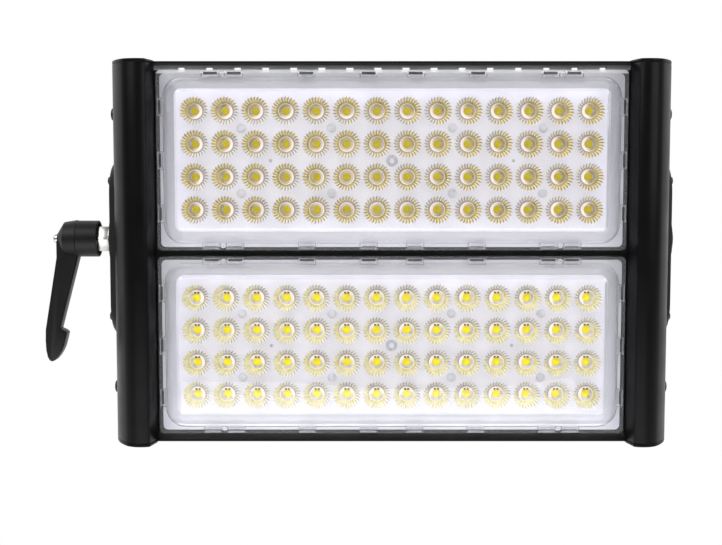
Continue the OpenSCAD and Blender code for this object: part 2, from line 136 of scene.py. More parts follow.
class MastLightSizes(bpy.types.PropertyGroup):
    """Sizes of the finished pieces that the solids don't carry."""

    edge: length("Edge", "Rounding of the metal pieces' edges", 0.0004)
    cap_edge: length("Cap edge", "Rounding of the end caps' edges", 0.0006)
    nose_r: length("Nose radius", "Radius of an arm's nose", 0.012)
    nose_u: length("Nose inset", "Distance of the nose's middle from the arm's outer face", 0.019)
    flank_r: length("Flank radius", "Radius of an arm's rounded flank", 0.046)
    slant_w: length("Slant width", "Width of the slanted strip on an arm's inner side", 0.003)
    slant_d: length("Slant depth", "Depth of the slanted strip on an arm's inner side", 0.014)
    plate_bevel: length("Plate bevel", "Run of the bevel at a pivot plate's ends", 0.006)
    plate_slim: length("Slim plate", "How much thinner the right pivot plate is", 0.0008)
    plate_r: length("Plate corner", "Corner radius of a pivot plate", 0.018)
    base_t: length("Base", "Thickness of a heat sink's base", 0.005)
    fin_t: length("Fin", "Thickness of a heat sink's fin", 0.002)
    fin_pitch: length("Fin spacing", "Spacing of the fins", 0.0074)
    vent_w: length("Vent width", "Width of a vent slot in the upper bar", 0.0044)
    vent_h: length("Vent height", "Height of a vent slot in the upper bar", 0.003)
    vent_end: length("Vent end", "Distance of the outer slots' middles from the lens plate's side", 0.0151)
    vent_down: length("Vent drop", "Distance of the slots' lower edge under the lens plate's edge", 0.0012)
    vent_count: IntProperty(name="Vents", description="Vent slots in the upper bar", default=16, min=1)
    fin_end: length("Fin end", "Distance of the fins from the ends of their base", 0.002)
    lip_lead: length("Lip lead", "How far a sink's lip stands in front of its base", 0.003)
    lip_t: length("Lip", "Height of a sink's lip", 0.0016)
    lip_gap: length("Lip gap", "Distance of a lip's foot from the lens plate", 0.0004)
    rim_w: length("Rim", "Width of a lens plate's flat rim", 0.0055)
    slope_w: length("Slope", "Run of a lens plate's sloped wall", 0.0075)
    pane_t: length("Pane", "Thickness of a lens plate", 0.0025)
    pane_rise: length("Pane rise", "Height of the pane over the rim", 0.0085)
    rim_r: length("Rim corner", "Corner radius of a lens plate's rim", 0.003)
    slope_r: length("Wall corner", "Corner radius of a lens plate's sloped wall", 0.012)
    board_r: length("Board corner", "Corner radius of an LED board", 0.003)
    gasket_gap: length("Gasket gap", "Gap between a gasket and its board", 0.00005)
    bead_w: length("Bead", "Width of the bead at the foot of the sloped wall", 0.0016)
    bead_h: length("Bead height", "Height of the bead at the foot of the sloped wall", 0.0004)
    chip_w: length("Chip", "Side of an LED chip", 0.005)
    flute_count: IntProperty(name="Flutes", description="Flutes round one lens", default=25, min=8)
    flute_r: length("Flute radius", "Radius of a lens at the tips of its flutes", 0.0088)
    notch_r: length("Notch radius", "Radius of a lens between its flutes", 0.0075)
    collar_r: length("Collar radius", "Radius of the pale collar round the well", 0.0046)
    well_r: length("Well radius", "Radius of the well over an LED", 0.0042)
    cup_end: length("Cup end", "Distance of a lens from its LED chip", 0.0006)
    dome_r: length("Dome radius", "Radius of the phosphor on an LED chip", 0.0027)
    # Painted light and shade: the lens walls take a painted shade or a painted light on their sides that
    # face away from this point, and their painted LED colour on the others; the point sits at the camera's x
    # and height.
    lens_middle: FloatVectorProperty(
        name="Lens middle", description="Point that the lenses' shaded sides face", size=3,
        default=(-0.019, 0.0, 0.044),
    )
    yoke_t: length("Yoke strip", "Thickness of the yoke's strip", 0.004)
    yoke_bend: length("Yoke bend", "Inner radius of the yoke's bends", 0.006)
    fix_r: length("Fixing hole", "Radius of a fixing hole in the yoke", 0.0065)
    fix_pitch: length("Fixing spacing", "Spacing of the yoke's fixing holes", 0.1)
    pivot_r: length("Pivot", "Radius of the pivot holes", 0.0051)
    hub_face_r: length("Hub face", "Radius of the flat on the hub's outer end", 0.0032)
    hub_bevel_l: length("Hub bevel", "Length of the cone at the hub's outer end", 0.0046)
    shoulder: length("Shoulder", "Bevel of the lever's arm at the hub's outer end", 0.0015)
    skirt_l: length("Skirt", "Length of the hub's hollow inner end", 0.0016)
    skirt_t: length("Skirt wall", "Wall of the hub's hollow inner end", 0.0018)
    root_w: length("Lever root", "Width of the lever's arm at the hub", 0.0142)
    lever_t: length("Lever thickness", "Thickness of the lever's arm", 0.011)


class MastLightColours(bpy.types.PropertyGroup):
    """Colours of the finishes."""

    anodised: colour("Anodised", "Black anodised arms", (0.0035, 0.0035, 0.004))
    sink: colour("Heat sink", "Black anodised heat sinks", (0.006, 0.006, 0.0063))
    # Painted reflection: the next two tones are what the heat sinks' slanted lips grade to at their front.
    # They stand for the lens plate's bright edge reflected in the lip, and the lower lip's tone is a much
    # darker, painted shaded copy.
    lip: colour("Lip", "Pale foot of the heat sinks' lips", (0.34, 0.34, 0.35))
    low_lip_painted_reflection: colour("Low lip", "Foot of the lower heat sink's lip", (0.03, 0.03, 0.031))
    powder: colour("Powder coat", "Black powder coat of the plates and the yoke", (0.006, 0.006, 0.006))
    oxide: colour("Black oxide", "Black bolts and screws", (0.01, 0.01, 0.011))
    nylon: colour("Nylon", "Black nylon of the lever and the gland", (0.008, 0.008, 0.0085))
    zinc: colour("Zinc", "Bright zinc plating", (0.74, 0.73, 0.7))
    dust: colour("Dust", "Dust on upward faces", (0.25, 0.25, 0.24))
    board: colour("Board", "White solder mask", (0.8, 0.79, 0.86))
    screw: colour("Board screw", "Nickel plated board screws", (0.66, 0.66, 0.71))
    pad: colour("Pad", "Tinned pads on the board", (0.55, 0.55, 0.62))
    # The phosphor's yellow is its own colour. The lower chips' tone is a painted lit copy that stands for
    # the stronger light on the lower module.
    phosphor: colour("Phosphor", "Phosphor of the upper LED chips", (0.5, 0.4, 0.006))
    pale_phosphor: colour("Pale phosphor", "Phosphor of the lower LED chips", (0.88, 0.75, 0.015))
    chip_edge: colour("Chip edge", "Brown edge of an LED chip", (0.06, 0.045, 0.03))
    # Painted reflection: the flutes' tones stand for their LED's yellow seen through the clear lens. The
    # lower lenses' tones are lighter, painted lit copies.
    olive_painted_reflection: colour("Olive", "Flutes of the upper lenses, darker tone", (0.3, 0.25, 0.03))
    tan: colour("Tan", "Flutes of the upper lenses, lighter tone", (0.55, 0.42, 0.1))
    straw_painted_lit_reflection: colour("Straw", "Flutes of the lower lenses, darker tone", (0.52, 0.47, 0.16))
    cream_painted_lit_reflection: colour("Cream", "Flutes of the lower lenses, lighter tone", (0.74, 0.68, 0.36))
    # Painted shade: the grey that the flutes take on their sides towards the head's middle.
    shade: colour("Shade", "Side of a lens towards the head's middle", (0.34, 0.32, 0.36))
    pale: colour("Pale flank", "Clear flanks between the flutes", (0.74, 0.72, 0.68))
    # Painted light and shadow: the collar tone is the painted lit side of the collar and the well. The well
    # tones are a painted shadow round each chip, and the lower lenses' tone is a lighter, painted lit copy.
    collar: colour("Collar", "Pale collar round an LED", (0.95, 0.86, 0.84))
    well: colour("Well", "Floor of the well round an LED", (0.36, 0.31, 0.26))
    well_painted_light: colour("Pale well", "Well of the lower lenses", (0.62, 0.58, 0.56))
    clear: colour("Clear plastic", "Clear moulded plastic", (0.98, 0.98, 0.99))
    rim: colour("Rim plastic", "Rim and sloped wall of the lens plates", (0.9, 0.9, 0.92))
    slot: colour("Slot", "Shade in the slots of the snap catches", (0.05, 0.05, 0.052))
    lit_slot: colour("Lit slot", "Slots of the lower snap catches", (0.3, 0.3, 0.33))
    # Painted light: each gasket grades from the first of these tones at its top to the second, lighter one
    # at its bottom, as light from below would fall.
    gasket: colour("Gasket", "Silicone gasket, upper side", (0.44, 0.44, 0.46))
    gasket_painted_light: colour("Pale gasket", "Silicone gasket, lower side", (0.66, 0.66, 0.7))


class MastLightStage(bpy.types.PropertyGroup):
    """Camera and light."""

    focal: FloatProperty(
        name="Focal length", description="Camera lens", default=62.33, min=1.0, unit="CAMERA"
    )
    eye: FloatVectorProperty(
        name="Eye", description="Place of the camera", size=3, subtype="XYZ",
        default=(-0.019, -0.9743, 0.0439),
    )
    pitch: FloatProperty(
        name="Pitch", description="Downward tilt of the camera", default=math.radians(4.61), unit="ROTATION"
    )
    floor_z: FloatProperty(name="Floor", description="Height of the floor", default=-1.0, unit="LENGTH")
    key: power("Key lamp", "Power of the key lamp", 31.0)
    low: power("Low lamp", "Power of the low front lamp", 10.6)
    fill: power("Fill lamp", "Power of the fill lamp", 19.2)


def sizes():
    """The user's sizes."""
    return bpy.context.scene.mast_light_sizes


def colours():
    """The user's colours."""
    return bpy.context.scene.mast_light_colours


# Shader nodes


def rgba(value):
    """A colour with full alpha."""
    return (*value, 1.0)


def shade_of(value, factor):
    """A darker or lighter tone of a colour."""
    return [min(1.0, factor * c) for c in value]


def once(store):
    """Lets a function make its named data block once and find it again later."""

    def wrap(make):
        @functools.wraps(make)
        def find(name, *values):
            return getattr(bpy.data, store).get(name) or make(name, *values)

        return find

    return wrap


def feed(tree, node, inputs):
    """Sets or links a node's inputs."""
    for key, value in inputs.items():
        if isinstance(value, bpy.types.NodeSocket):
            tree.links.new(value, node.inputs[key])
        else:
            node.inputs[key].default_value = value


def add_node(tree, kind, inputs=None, **settings):
    """Adds a node, sets its fields, and sets or links its inputs."""
    made = tree.nodes.new(kind)
    for key, value in settings.items():
        setattr(made, key, value)
    feed(tree, made, inputs or {})
    return made


def add_math(tree, operation, first, second):
    """Works out a value from two others."""
    inputs = {0: first, 1: second}
    return add_node(tree, "ShaderNodeMath", inputs, operation=operation).outputs["Value"]


def add_vector_math(tree, operation, first, second, result="Vector"):
    """Works out a vector or a value from two vectors."""
    inputs = {0: first, 1: second}
    return add_node(tree, "ShaderNodeVectorMath", inputs, operation=operation).outputs[result]


def coord(tree, kind="Object"):
    """A place, a normal or a direction."""
    return add_node(tree, "ShaderNodeTexCoord").outputs[kind]


def part_of(tree, vector, axis):
    """One part of a vector."""
    return add_node(tree, "ShaderNodeSeparateXYZ", {"Vector": vector}).outputs[axis]


def object_noise(tree, scale, stretch=EVEN, detail=3.0):
    """Noise on Object coordinates, as a value from 0 to 1."""
    place = add_vector_math(tree, "MULTIPLY", coord(tree), stretch)
    inputs = {"Vector": place, "Scale": scale, "Detail": detail}
    return add_node(tree, "ShaderNodeTexNoise", inputs).outputs["Fac"]


def map_range(tree, value, low, high, from_low=0.3, from_high=0.7):
    """Maps a value to a range."""
    spread = {"Value": value, "From Min": from_low, "From Max": from_high, "To Min": low, "To Max": high}
    return add_node(tree, "ShaderNodeMapRange", spread).outputs["Result"]


def mix_colour(tree, share, first, second):
    """Mixes two colours."""
    inputs = {0: share, 6: first, 7: second}
    return add_node(tree, "ShaderNodeMix", inputs, data_type="RGBA").outputs[2]


def mix_shaders(tree, share, first, second):
    """Mixes two shaders' outputs into the surface."""
    mix = add_node(tree, "ShaderNodeMixShader", {0: share, 1: first, 2: second})
    tree.links.new(mix.outputs["Shader"], tree.nodes["Material Output"].inputs["Surface"])


def new_group(name, inputs, outputs):
    """Makes an empty shader node group with named sockets."""
    tree = bpy.data.node_groups.new(name, "ShaderNodeTree")
    for label, kind, value in inputs:
        tree.interface.new_socket(label, in_out="INPUT", socket_type=kind).default_value = value
    for label, kind in outputs:
        tree.interface.new_socket(label, in_out="OUTPUT", socket_type=kind)
    return tree, tree.nodes.new("NodeGroupInput").outputs, tree.nodes.new("NodeGroupOutput").inputs


def place_group(tree, group, inputs):
    """Places a node group and sets or links its inputs."""
    return add_node(tree, "ShaderNodeGroup", inputs, node_tree=group).outputs


@once("node_groups")
def grain_group(name):
    """Fine grain: a height for bump and a mask for gloss, both from noise."""
    inputs = [
        ("Scale", VALUE, 1500.0), ("Stretch", VECTOR, EVEN),
        ("Gloss Low", VALUE, 0.4), ("Gloss High", VALUE, 0.5),
    ]
    tree, given, out = new_group(name, inputs, [("Height", VALUE), ("Roughness", VALUE)])
    fine = object_noise(tree, given["Scale"], given["Stretch"])
    broad = object_noise(tree, 40.0, detail=4.0)
    tree.links.new(fine, out["Height"])
    tree.links.new(map_range(tree, broad, given["Gloss Low"], given["Gloss High"]), out["Roughness"])
    return tree


@once("node_groups")
def dust_group(name):
    """Settled dust: a colour that pales in patches on upward faces."""
    inputs = [("Color", COLOUR, GREY), ("Dust", COLOUR, GREY), ("Amount", VALUE, 0.1)]
    tree, given, out = new_group(name, inputs, [("Color", COLOUR)])
    facing = map_range(tree, part_of(tree, coord(tree, "Normal"), "Z"), 0.08, 1.0, 0.2, 0.95)
    patches = map_range(tree, object_noise(tree, 65.0, detail=6.0), 0.1, 1.0, 0.42, 0.7)
    share = add_math(tree, "MULTIPLY", add_math(tree, "MULTIPLY", facing, patches), given["Amount"])
    tree.links.new(mix_colour(tree, share, given["Color"], given["Dust"]), out["Color"])
    return tree


@once("node_groups")
def drift_group(name):
    """Tone drift: a colour that wanders slowly between two tones."""
    inputs = [("First", COLOUR, GREY), ("Second", COLOUR, GREY), ("Scale", VALUE, 100.0)]
    tree, given, out = new_group(name, inputs, [("Color", COLOUR)])
    share = map_range(tree, object_noise(tree, given["Scale"], detail=2.0), 0.0, 1.0, 0.35, 0.65)
    tree.links.new(mix_colour(tree, share, given["First"], given["Second"]), out["Color"])
    return tree


@once("node_groups")
def grade_group(name):
    """Tone grade: a colour that goes from one tone to another along an axis."""
    inputs = [
        ("First", COLOUR, GREY), ("Second", COLOUR, GREY), ("Axis", VECTOR, (0.0, 0.0, 1.0)),
        ("Start", VALUE, 0.0), ("End", VALUE, 1.0),
    ]
    tree, given, out = new_group(name, inputs, [("Color", COLOUR)])
    along = add_vector_math(tree, "DOT_PRODUCT", coord(tree), given["Axis"], "Value")
    share = map_range(tree, along, 0.0, 1.0, given["Start"], given["End"])
    tree.links.new(mix_colour(tree, share, given["First"], given["Second"]), out["Color"])
    return tree


@once("node_groups")
def lens_shade_group(name):
    """Lens shade: painted light and shade, a colour that goes to a shade on the sides that face away from a
    point.
    """
    inputs = [
        ("Color", COLOUR, GREY), ("Shade", COLOUR, GREY), ("Middle", VECTOR, (0.0, 0.0, 0.0)),
        ("Start", VALUE, -0.02), ("End", VALUE, 0.04),
    ]
    tree, given, out = new_group(name, inputs, [("Color", COLOUR)])
    flat = add_vector_math(tree, "MULTIPLY", coord(tree, "Normal"), (1.0, 0.0, 1.0))
    away = add_vector_math(tree, "SUBTRACT", coord(tree), given["Middle"])
    facing = add_vector_math(tree, "DOT_PRODUCT", flat, away, "Value")
    share = map_range(tree, facing, 0.0, 0.9, given["Start"], given["End"])
    tree.links.new(mix_colour(tree, share, given["Color"], given["Shade"]), out["Color"])
    return tree


def drifting(tree, first, second, scale):
    """A colour that drifts between two tones."""
    inputs = {"First": rgba(first), "Second": rgba(second), "Scale": scale}
    return place_group(tree, drift_group("Tone drift"), inputs)["Color"]


# Finishes


def new_material(name):
    """Makes a material and returns it with its node tree and its Principled shader."""
    made = bpy.data.materials.new(name)
    made.use_nodes = True
    return made, made.node_tree, made.node_tree.nodes["Principled BSDF"]


def set_shader(shader, **values):
    """Sets a shader's own sockets by their names, with _ for a blank."""
    for key, value in values.items():
        shader.inputs[key.replace("_", " ")].default_value = value


def lay_grain(tree, shader, tone, gloss, scale, strength, stretch=EVEN):
    """Gives a shader its tone, fine grain and uneven gloss."""
    inputs = {"Scale": scale, "Stretch": stretch, "Gloss Low": gloss[0], "Gloss High": gloss[1]}
    grain = place_group(tree, grain_group("Fine grain"), inputs)
    inputs = {"Height": grain["Height"], "Strength": strength, "Distance": GRAIN_DEPTH}
    normal = add_node(tree, "ShaderNodeBump", inputs).outputs["Normal"]
    feed(tree, shader, {"Base Color": tone, "Roughness": grain["Roughness"], "Normal": normal})


@once("materials")
def dark_finish(name, base, gloss, grain, bump, specular, dust=0.08, stretch=EVEN):
    """A dark surface with fine grain, uneven gloss and a little dust."""
    made, tree, shader = new_material(name)
    inputs = {"Color": rgba(base), "Dust": rgba(colours().dust), "Amount": dust}
    tone = place_group(tree, dust_group("Settled dust"), inputs)["Color"]
    lay_grain(tree, shader, tone, gloss, grain, bump, stretch)
    set_shader(shader, Specular_IOR_Level=specular)
    return made


def arm_finish():
    """Satin black anodised extrusion with faint draw lines along its length."""
    base = colours().anodised
    return dark_finish("Satin anodised", base, (0.3, 0.4), 900.0, 0.05, 0.1, 0.05, (1.0, 1.0, 0.02))


def sink_finish():
    """Matt black anodised heat sink."""
    base = colours().sink
    return dark_finish("Matt anodised", base, (0.38, 0.5), 1400.0, 0.05, 0.1, 0.08, (1.0, 1.0, 0.05))


def powder_finish():
    """Fine textured powder coat."""
    return dark_finish("Powder coat", colours().powder, (0.45, 0.58), 1800.0, 0.35, 0.35)


def oxide_finish():
    """Black oxide on steel."""
    return dark_finish("Black oxide", colours().oxide, (0.3, 0.42), 1500.0, 0.1, 0.45)


def nylon_finish():
    """Fine grained black nylon."""
    return dark_finish("Black nylon", colours().nylon, (0.36, 0.48), 2200.0, 0.2, 0.25)


@once("materials")
def graded_finish(name, first, second, axis, reach):
    """A smooth surface whose tone goes from one to another along an axis; here it paints light: a painted
    reflection on the sinks' lips and a painted lighter lower side on the gaskets.
    """
    made, tree, shader = new_material(name)
    inputs = {"First": rgba(first), "Second": rgba(second), "Axis": axis, "Start": reach[0], "End": reach[1]}
    tone = place_group(tree, grade_group("Tone grade"), inputs)["Color"]
    lay_grain(tree, shader, tone, (0.35, 0.5), 1400.0, 0.03)
    set_shader(shader, Specular_IOR_Level=0.2)
    return made


@once("materials")
def plated_finish(name, base):
    """Bright plating with a faint turning pattern."""
    made, tree, shader = new_material(name)
    tone = drifting(tree, base, shade_of(base, 0.82), 180.0)
    lay_grain(tree, shader, tone, (0.22, 0.34), 1600.0, 0.1, (3.0, 0.4, 0.4))
    set_shader(shader, Metallic=1.0)
    return made


def zinc_finish():
    """Bright zinc plating."""
    return plated_finish("Zinc plate", colours().zinc)


@once("materials")
def toned_finish(name, base, factor, scale, gloss, specular=0.4):
    """A matt surface whose tone drifts to a darker or lighter one."""
    made, tree, shader = new_material(name)
    tone = drifting(tree, base, shade_of(base, factor), scale)
    lay_grain(tree, shader, tone, gloss, 1200.0, 0.05)
    set_shader(shader, Specular_IOR_Level=specular)
    return made


def pass_light(tree, shader, tint):
    """Lets lamp light pass through a clear surface to what lies behind it."""
    path = add_node(tree, "ShaderNodeLightPath").outputs
    through = add_node(tree, "ShaderNodeBsdfTransparent", {"Color": rgba(tint)}).outputs["BSDF"]
    mix_shaders(tree, path["Is Shadow Ray"], shader.outputs["BSDF"], through)


@once("materials")
def clear_finish(name, tint, roughness, transmission):
    """Clear moulded plastic that lets light fall on what lies behind it."""
    made, tree, shader = new_material(name)
    feed(tree, shader, {"Base Color": drifting(tree, tint, shade_of(tint, 0.96), 60.0)})
    set_shader(shader, Roughness=roughness, Transmission_Weight=transmission, IOR=1.49)
    pass_light(tree, shader, shade_of(tint, 0.97))
    return made


@once("materials")
def petal_finish(name, dark, light, shade, reach=(-0.02, 0.04)):
    """Moulded lens wall with painted light: a painted reflection of its LED's colour on one side, and a
    painted shade, or for the collar and well a painted light, on the side away from the lens middle.
    """
    made, tree, shader = new_material(name)
    inputs = {
        "Color": drifting(tree, dark, light, 330.0), "Shade": rgba(shade), "Middle": sizes().lens_middle,
        "Start": reach[0], "End": reach[1],
    }
    tone = place_group(tree, lens_shade_group("Lens shade"), inputs)["Color"]
    feed(tree, shader, {"Base Color": tone})
    set_shader(shader, Roughness=0.25, Specular_IOR_Level=0.2)
    pass_light(tree, shader, EVEN)
    return made


# Mesh helpers


def add_piece(name, bm, materials, body, nodes, smooth_deg=35):
    """Makes a piece of a bmesh, lets it ride on a body, and lets it stand for CAD nodes."""
    bmesh.ops.remove_doubles(bm, verts=bm.verts, dist=MERGE)
    whole = [f for f in bm.faces if all(e.is_manifold for e in f.edges)]
    bmesh.ops.recalc_face_normals(bm, faces=whole)
    if not bm.faces:
        raise RuntimeError(f"{name} has no faces")
    for face in bm.faces:
        face.smooth = len(face.verts) <= 4  # a face with more corners is a flat side
    mesh = bpy.data.meshes.new(name)
    bm.to_mesh(mesh)
    bm.free()
    mesh.set_sharp_from_angle(angle=math.radians(smooth_deg))
    for material in materials:
        mesh.materials.append(material)
    piece = bpy.data.objects.new(name, mesh)
    bpy.context.scene.collection.objects.link(piece)
    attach(piece, body)
    if nodes:
        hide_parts(*nodes)
    return piece


def only(geom, kind):
    """The elements of one kind among what an operator made."""
    return [g for g in geom if isinstance(g, kind)]


def soften(bm, geom, width, segments=2, affect="EDGES", clamp=True):
    """Rounds edges or corners."""
    return bmesh.ops.bevel(
        bm, geom=list(geom), offset=width, offset_type="OFFSET", segments=segments, profile=0.5,
        affect=affect, clamp_overlap=clamp, material=-1,
    )


def sharp_edges(bm, angle_deg=40):
    """The edges whose faces meet at more than an angle."""
    limit = math.radians(angle_deg)
    return [e for e in bm.edges if len(e.link_faces) == 2 and e.calc_face_angle(0.0) > limit]


def add_block(bm, low, high):
    """A block between two corners."""
    low, high = Vector(low), Vector(high)
    size = high - low
    place = Matrix.Translation((low + high) / 2) @ Matrix.Diagonal((*size, 1.0))
    return bmesh.ops.create_cube(bm, size=1.0, matrix=place)["verts"]


def add_turned(bm, profile, centre, axis, steps=40):
    """A turned shape: points (along, radius) spun about an axis through a centre."""
    centre, axis = Vector(centre), Vector(axis)
    side = axis.orthogonal().normalized()
    verts = [bm.verts.new(centre + axis * along + side * radius) for along, radius in profile]
    edges = [bm.edges.new(pair) for pair in zip(verts, verts[1:])]
    bmesh.ops.spin(
        bm, geom=verts + edges, cent=centre, axis=axis, angle=FULL_TURN, steps=steps, use_merge=True
    )


def add_outline(bm, centre, width, height, radius, turn=TO_FRONT):
    """A rounded rectangle as one face, turned from the x-y plane."""
    place = Matrix.Translation(centre) @ turn @ Matrix.Diagonal((width, height, 1.0, 1.0))
    corners = bmesh.ops.create_grid(bm, x_segments=1, y_segments=1, size=0.5, matrix=place)["verts"]
    made = soften(bm, corners, radius, CORNER_STEPS, "VERTICES", False)
    return made["verts"][0].link_faces[0]


def add_ring(bm, segments, radius, centre, turn):
    """A ring of edges, turned from the x-y plane."""
    place = Matrix.Translation(centre) @ turn
    return bmesh.ops.create_circle(bm, segments=segments, radius=radius, matrix=place)["verts"]


def open_loop(bm, face):
    """Takes a face away and keeps its edges."""
    edges = list(face.edges)
    bmesh.ops.delete(bm, geom=[face], context="FACES_ONLY")
    return edges


def pull(bm, faces, vector):
    """Extrudes faces along a vector and returns the new faces."""
    made = bmesh.ops.extrude_face_region(bm, geom=list(faces))["geom"]
    bmesh.ops.translate(bm, verts=only(made, BMVert), vec=vector)
    return only(made, BMFace)


def fill(bm, edges):
    """Fills an outline and its holes with faces."""
    made = bmesh.ops.triangle_fill(bm, use_beauty=True, use_dissolve=False, edges=list(edges))["geom"]
    return only(made, BMFace)


def split(bm, place, normal):
    """Cuts all faces along a plane."""
    geom = bm.verts[:] + bm.edges[:] + bm.faces[:]
    bmesh.ops.bisect_plane(bm, geom=geom, dist=MERGE, plane_co=place, plane_no=normal)


def add_hexagon(bm, radius, low, high, matrix, edge):
    """A six-sided head along an axis, from low to high on it, with softened edges."""
    place = matrix @ Matrix.Translation((0.0, 0.0, (low + high) / 2))
    verts = bmesh.ops.create_cone(
        bm, cap_ends=True, cap_tris=False, segments=6, radius1=radius, radius2=radius,
        depth=high - low, matrix=place,
    )["verts"]
    soften(bm, edges_among(verts), edge)


def edges_among(verts):
    """The edges that join a set of vertices."""
    inside = set(verts)
    return {e for v in verts for e in v.link_edges if e.other_vert(v) in inside}


def faces_among(verts):
    """The faces that a set of vertices bounds."""
    inside = set(verts)
    return {f for v in verts for f in v.link_faces if inside.issuperset(f.verts)}


def add_socket_head(bm, radius, height, base, axis, centre):
    """A domed bolt head with a six-sided socket, on a base along an axis."""
    axis, centre = Vector(axis), Vector(centre)
    before = set(bm.verts)
    profile = [
        (base, 0.0), (base, radius), (base + 0.55 * height, radius), (base + 0.85 * height, 0.88 * radius),
        (base + height, 0.66 * radius),
    ]
    add_turned(bm, profile, centre, axis, steps=24)
    bmesh.ops.remove_doubles(bm, verts=[v for v in bm.verts if v not in before], dist=MERGE)
    rim = [e for e in bm.edges if e.is_boundary and e.verts[0] not in before]
    turn = Vector((0.0, 0.0, 1.0)).rotation_difference(axis).to_matrix().to_4x4()
    hexagon = add_ring(bm, 6, 0.5 * radius, centre + axis * (base + 0.94 * height), turn)
    sides = bmesh.ops.subdivide_edges(bm, edges=list(edges_among(hexagon)), cuts=3)["geom_split"]
    mouth = only(sides, BMEdge)
    bmesh.ops.bridge_loops(bm, edges=rim + mouth)
    floor = only(bmesh.ops.extrude_edge_only(bm, edges=mouth)["geom"], BMEdge)
    bmesh.ops.translate(bm, verts=list({v for e in floor for v in e.verts}), vec=axis * (-0.5 * height))
    bmesh.ops.contextual_create(bm, geom=floor)


def add_copies(bm, part, places):
    """Turns a small part's faces to the front and sets a copy of it at each place."""
    bmesh.ops.recalc_face_normals(part, faces=part.faces)
    if sum(f.normal.y * f.calc_area() for f in part.faces) > MERGE**2:
        bmesh.ops.reverse_faces(part, faces=part.faces)
    mesh = bpy.data.meshes.new("Copy")
    part.to_mesh(mesh)
    part.free()
    for place in places:
        start = len(bm.verts)
        bm.from_mesh(mesh)
        bm.verts.ensure_lookup_table()
        bmesh.ops.translate(bm, verts=bm.verts[start:], vec=place)
    bpy.data.meshes.remove(mesh)


class MastLightOperator:
    """What the operators share."""

    bl_options = {"REGISTER", "UNDO"}


def arm_outline(bm, side, low, high):
    """Section of an arm at the height of low, as one face."""
    s = sizes()
    outer = low.x if side < 0 else high.x
    front = low.y

    def at(u, d):
        return Vector((outer - side * u, front + d, low.z))

    width, depth = high.x - low.x, high.y - low.y
    reach = s.flank_r - s.nose_r
    flank_d = s.nose_r + math.sqrt(reach**2 - (s.flank_r - s.nose_u) ** 2)
    nose, flank = at(s.nose_u, s.nose_r), at(s.flank_r, flank_d)
    slant = at(width, s.slant_d) - at(width - s.slant_w, 0.0)
    off = at(width - s.slant_w, 0.0) - nose
    along, square = off.dot(slant), slant.dot(slant)
    share = (-along - math.sqrt(along**2 - square * (off.dot(off) - s.nose_r**2))) / square
    start = nose + off + slant * share
    joint = flank + (nose - flank).normalized() * s.flank_r
    first = bm.verts.new(start)
    angle = (start - nose).angle(joint - nose)
    last = spin_vert(bm, first, nose, side * angle, 14)
    angle = (joint - flank).angle(at(0.0, flank_d) - flank)
    last = spin_vert(bm, last, flank, side * angle, 10)
    corners = [bm.verts.new(at(*p)) for p in ((0.0, depth), (width, depth), (width, s.slant_d))]
    chain = [last, *corners, first]
    for pair in zip(chain, chain[1:]):
        bm.edges.new(pair)
    return bmesh.ops.contextual_create(bm, geom=bm.edges[:])["faces"][0]


def spin_vert(bm, vert, centre, angle, steps):
    """Spins a vertex about an upright axis, leaves the arc, and returns its end."""
    made = bmesh.ops.spin(
        bm, geom=[vert], cent=centre, axis=(0.0, 0.0, 1.0), angle=angle, steps=steps, use_merge=False
    )["geom_last"]
    return only(made, BMVert)[0]


class MASTLIGHT_OT_side_arms(MastLightOperator, bpy.types.Operator):
    """Makes the two rounded side arms and their end caps"""

    bl_idname = "mast_light.side_arms"
    bl_label = "Side arms and end caps"

    def execute(self, context):
        s = sizes()
        for name, side in SIDES.items():
            self.bar(f"{name}_arm", f"{name}_side_arm", side, s.edge, 2)
            for end in ("top", "bottom"):
                self.bar(f"{name}_{end}_cap", f"{name}_{end}_end_cap", side, s.cap_edge, 3)
        return {"FINISHED"}

    @staticmethod
    def bar(node, name, side, rounding, segments):
        """A length of the arm's section with rounded edges, in place of a node."""
        low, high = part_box(node)
        bm = bmesh.new()
        pull(bm, [arm_outline(bm, side, low, high)], (0.0, 0.0, high.z - low.z))
        bm.normal_update()
        soften(bm, sharp_edges(bm, 24), rounding, segments)
        add_piece(name, bm, [arm_finish()], "head", [node])


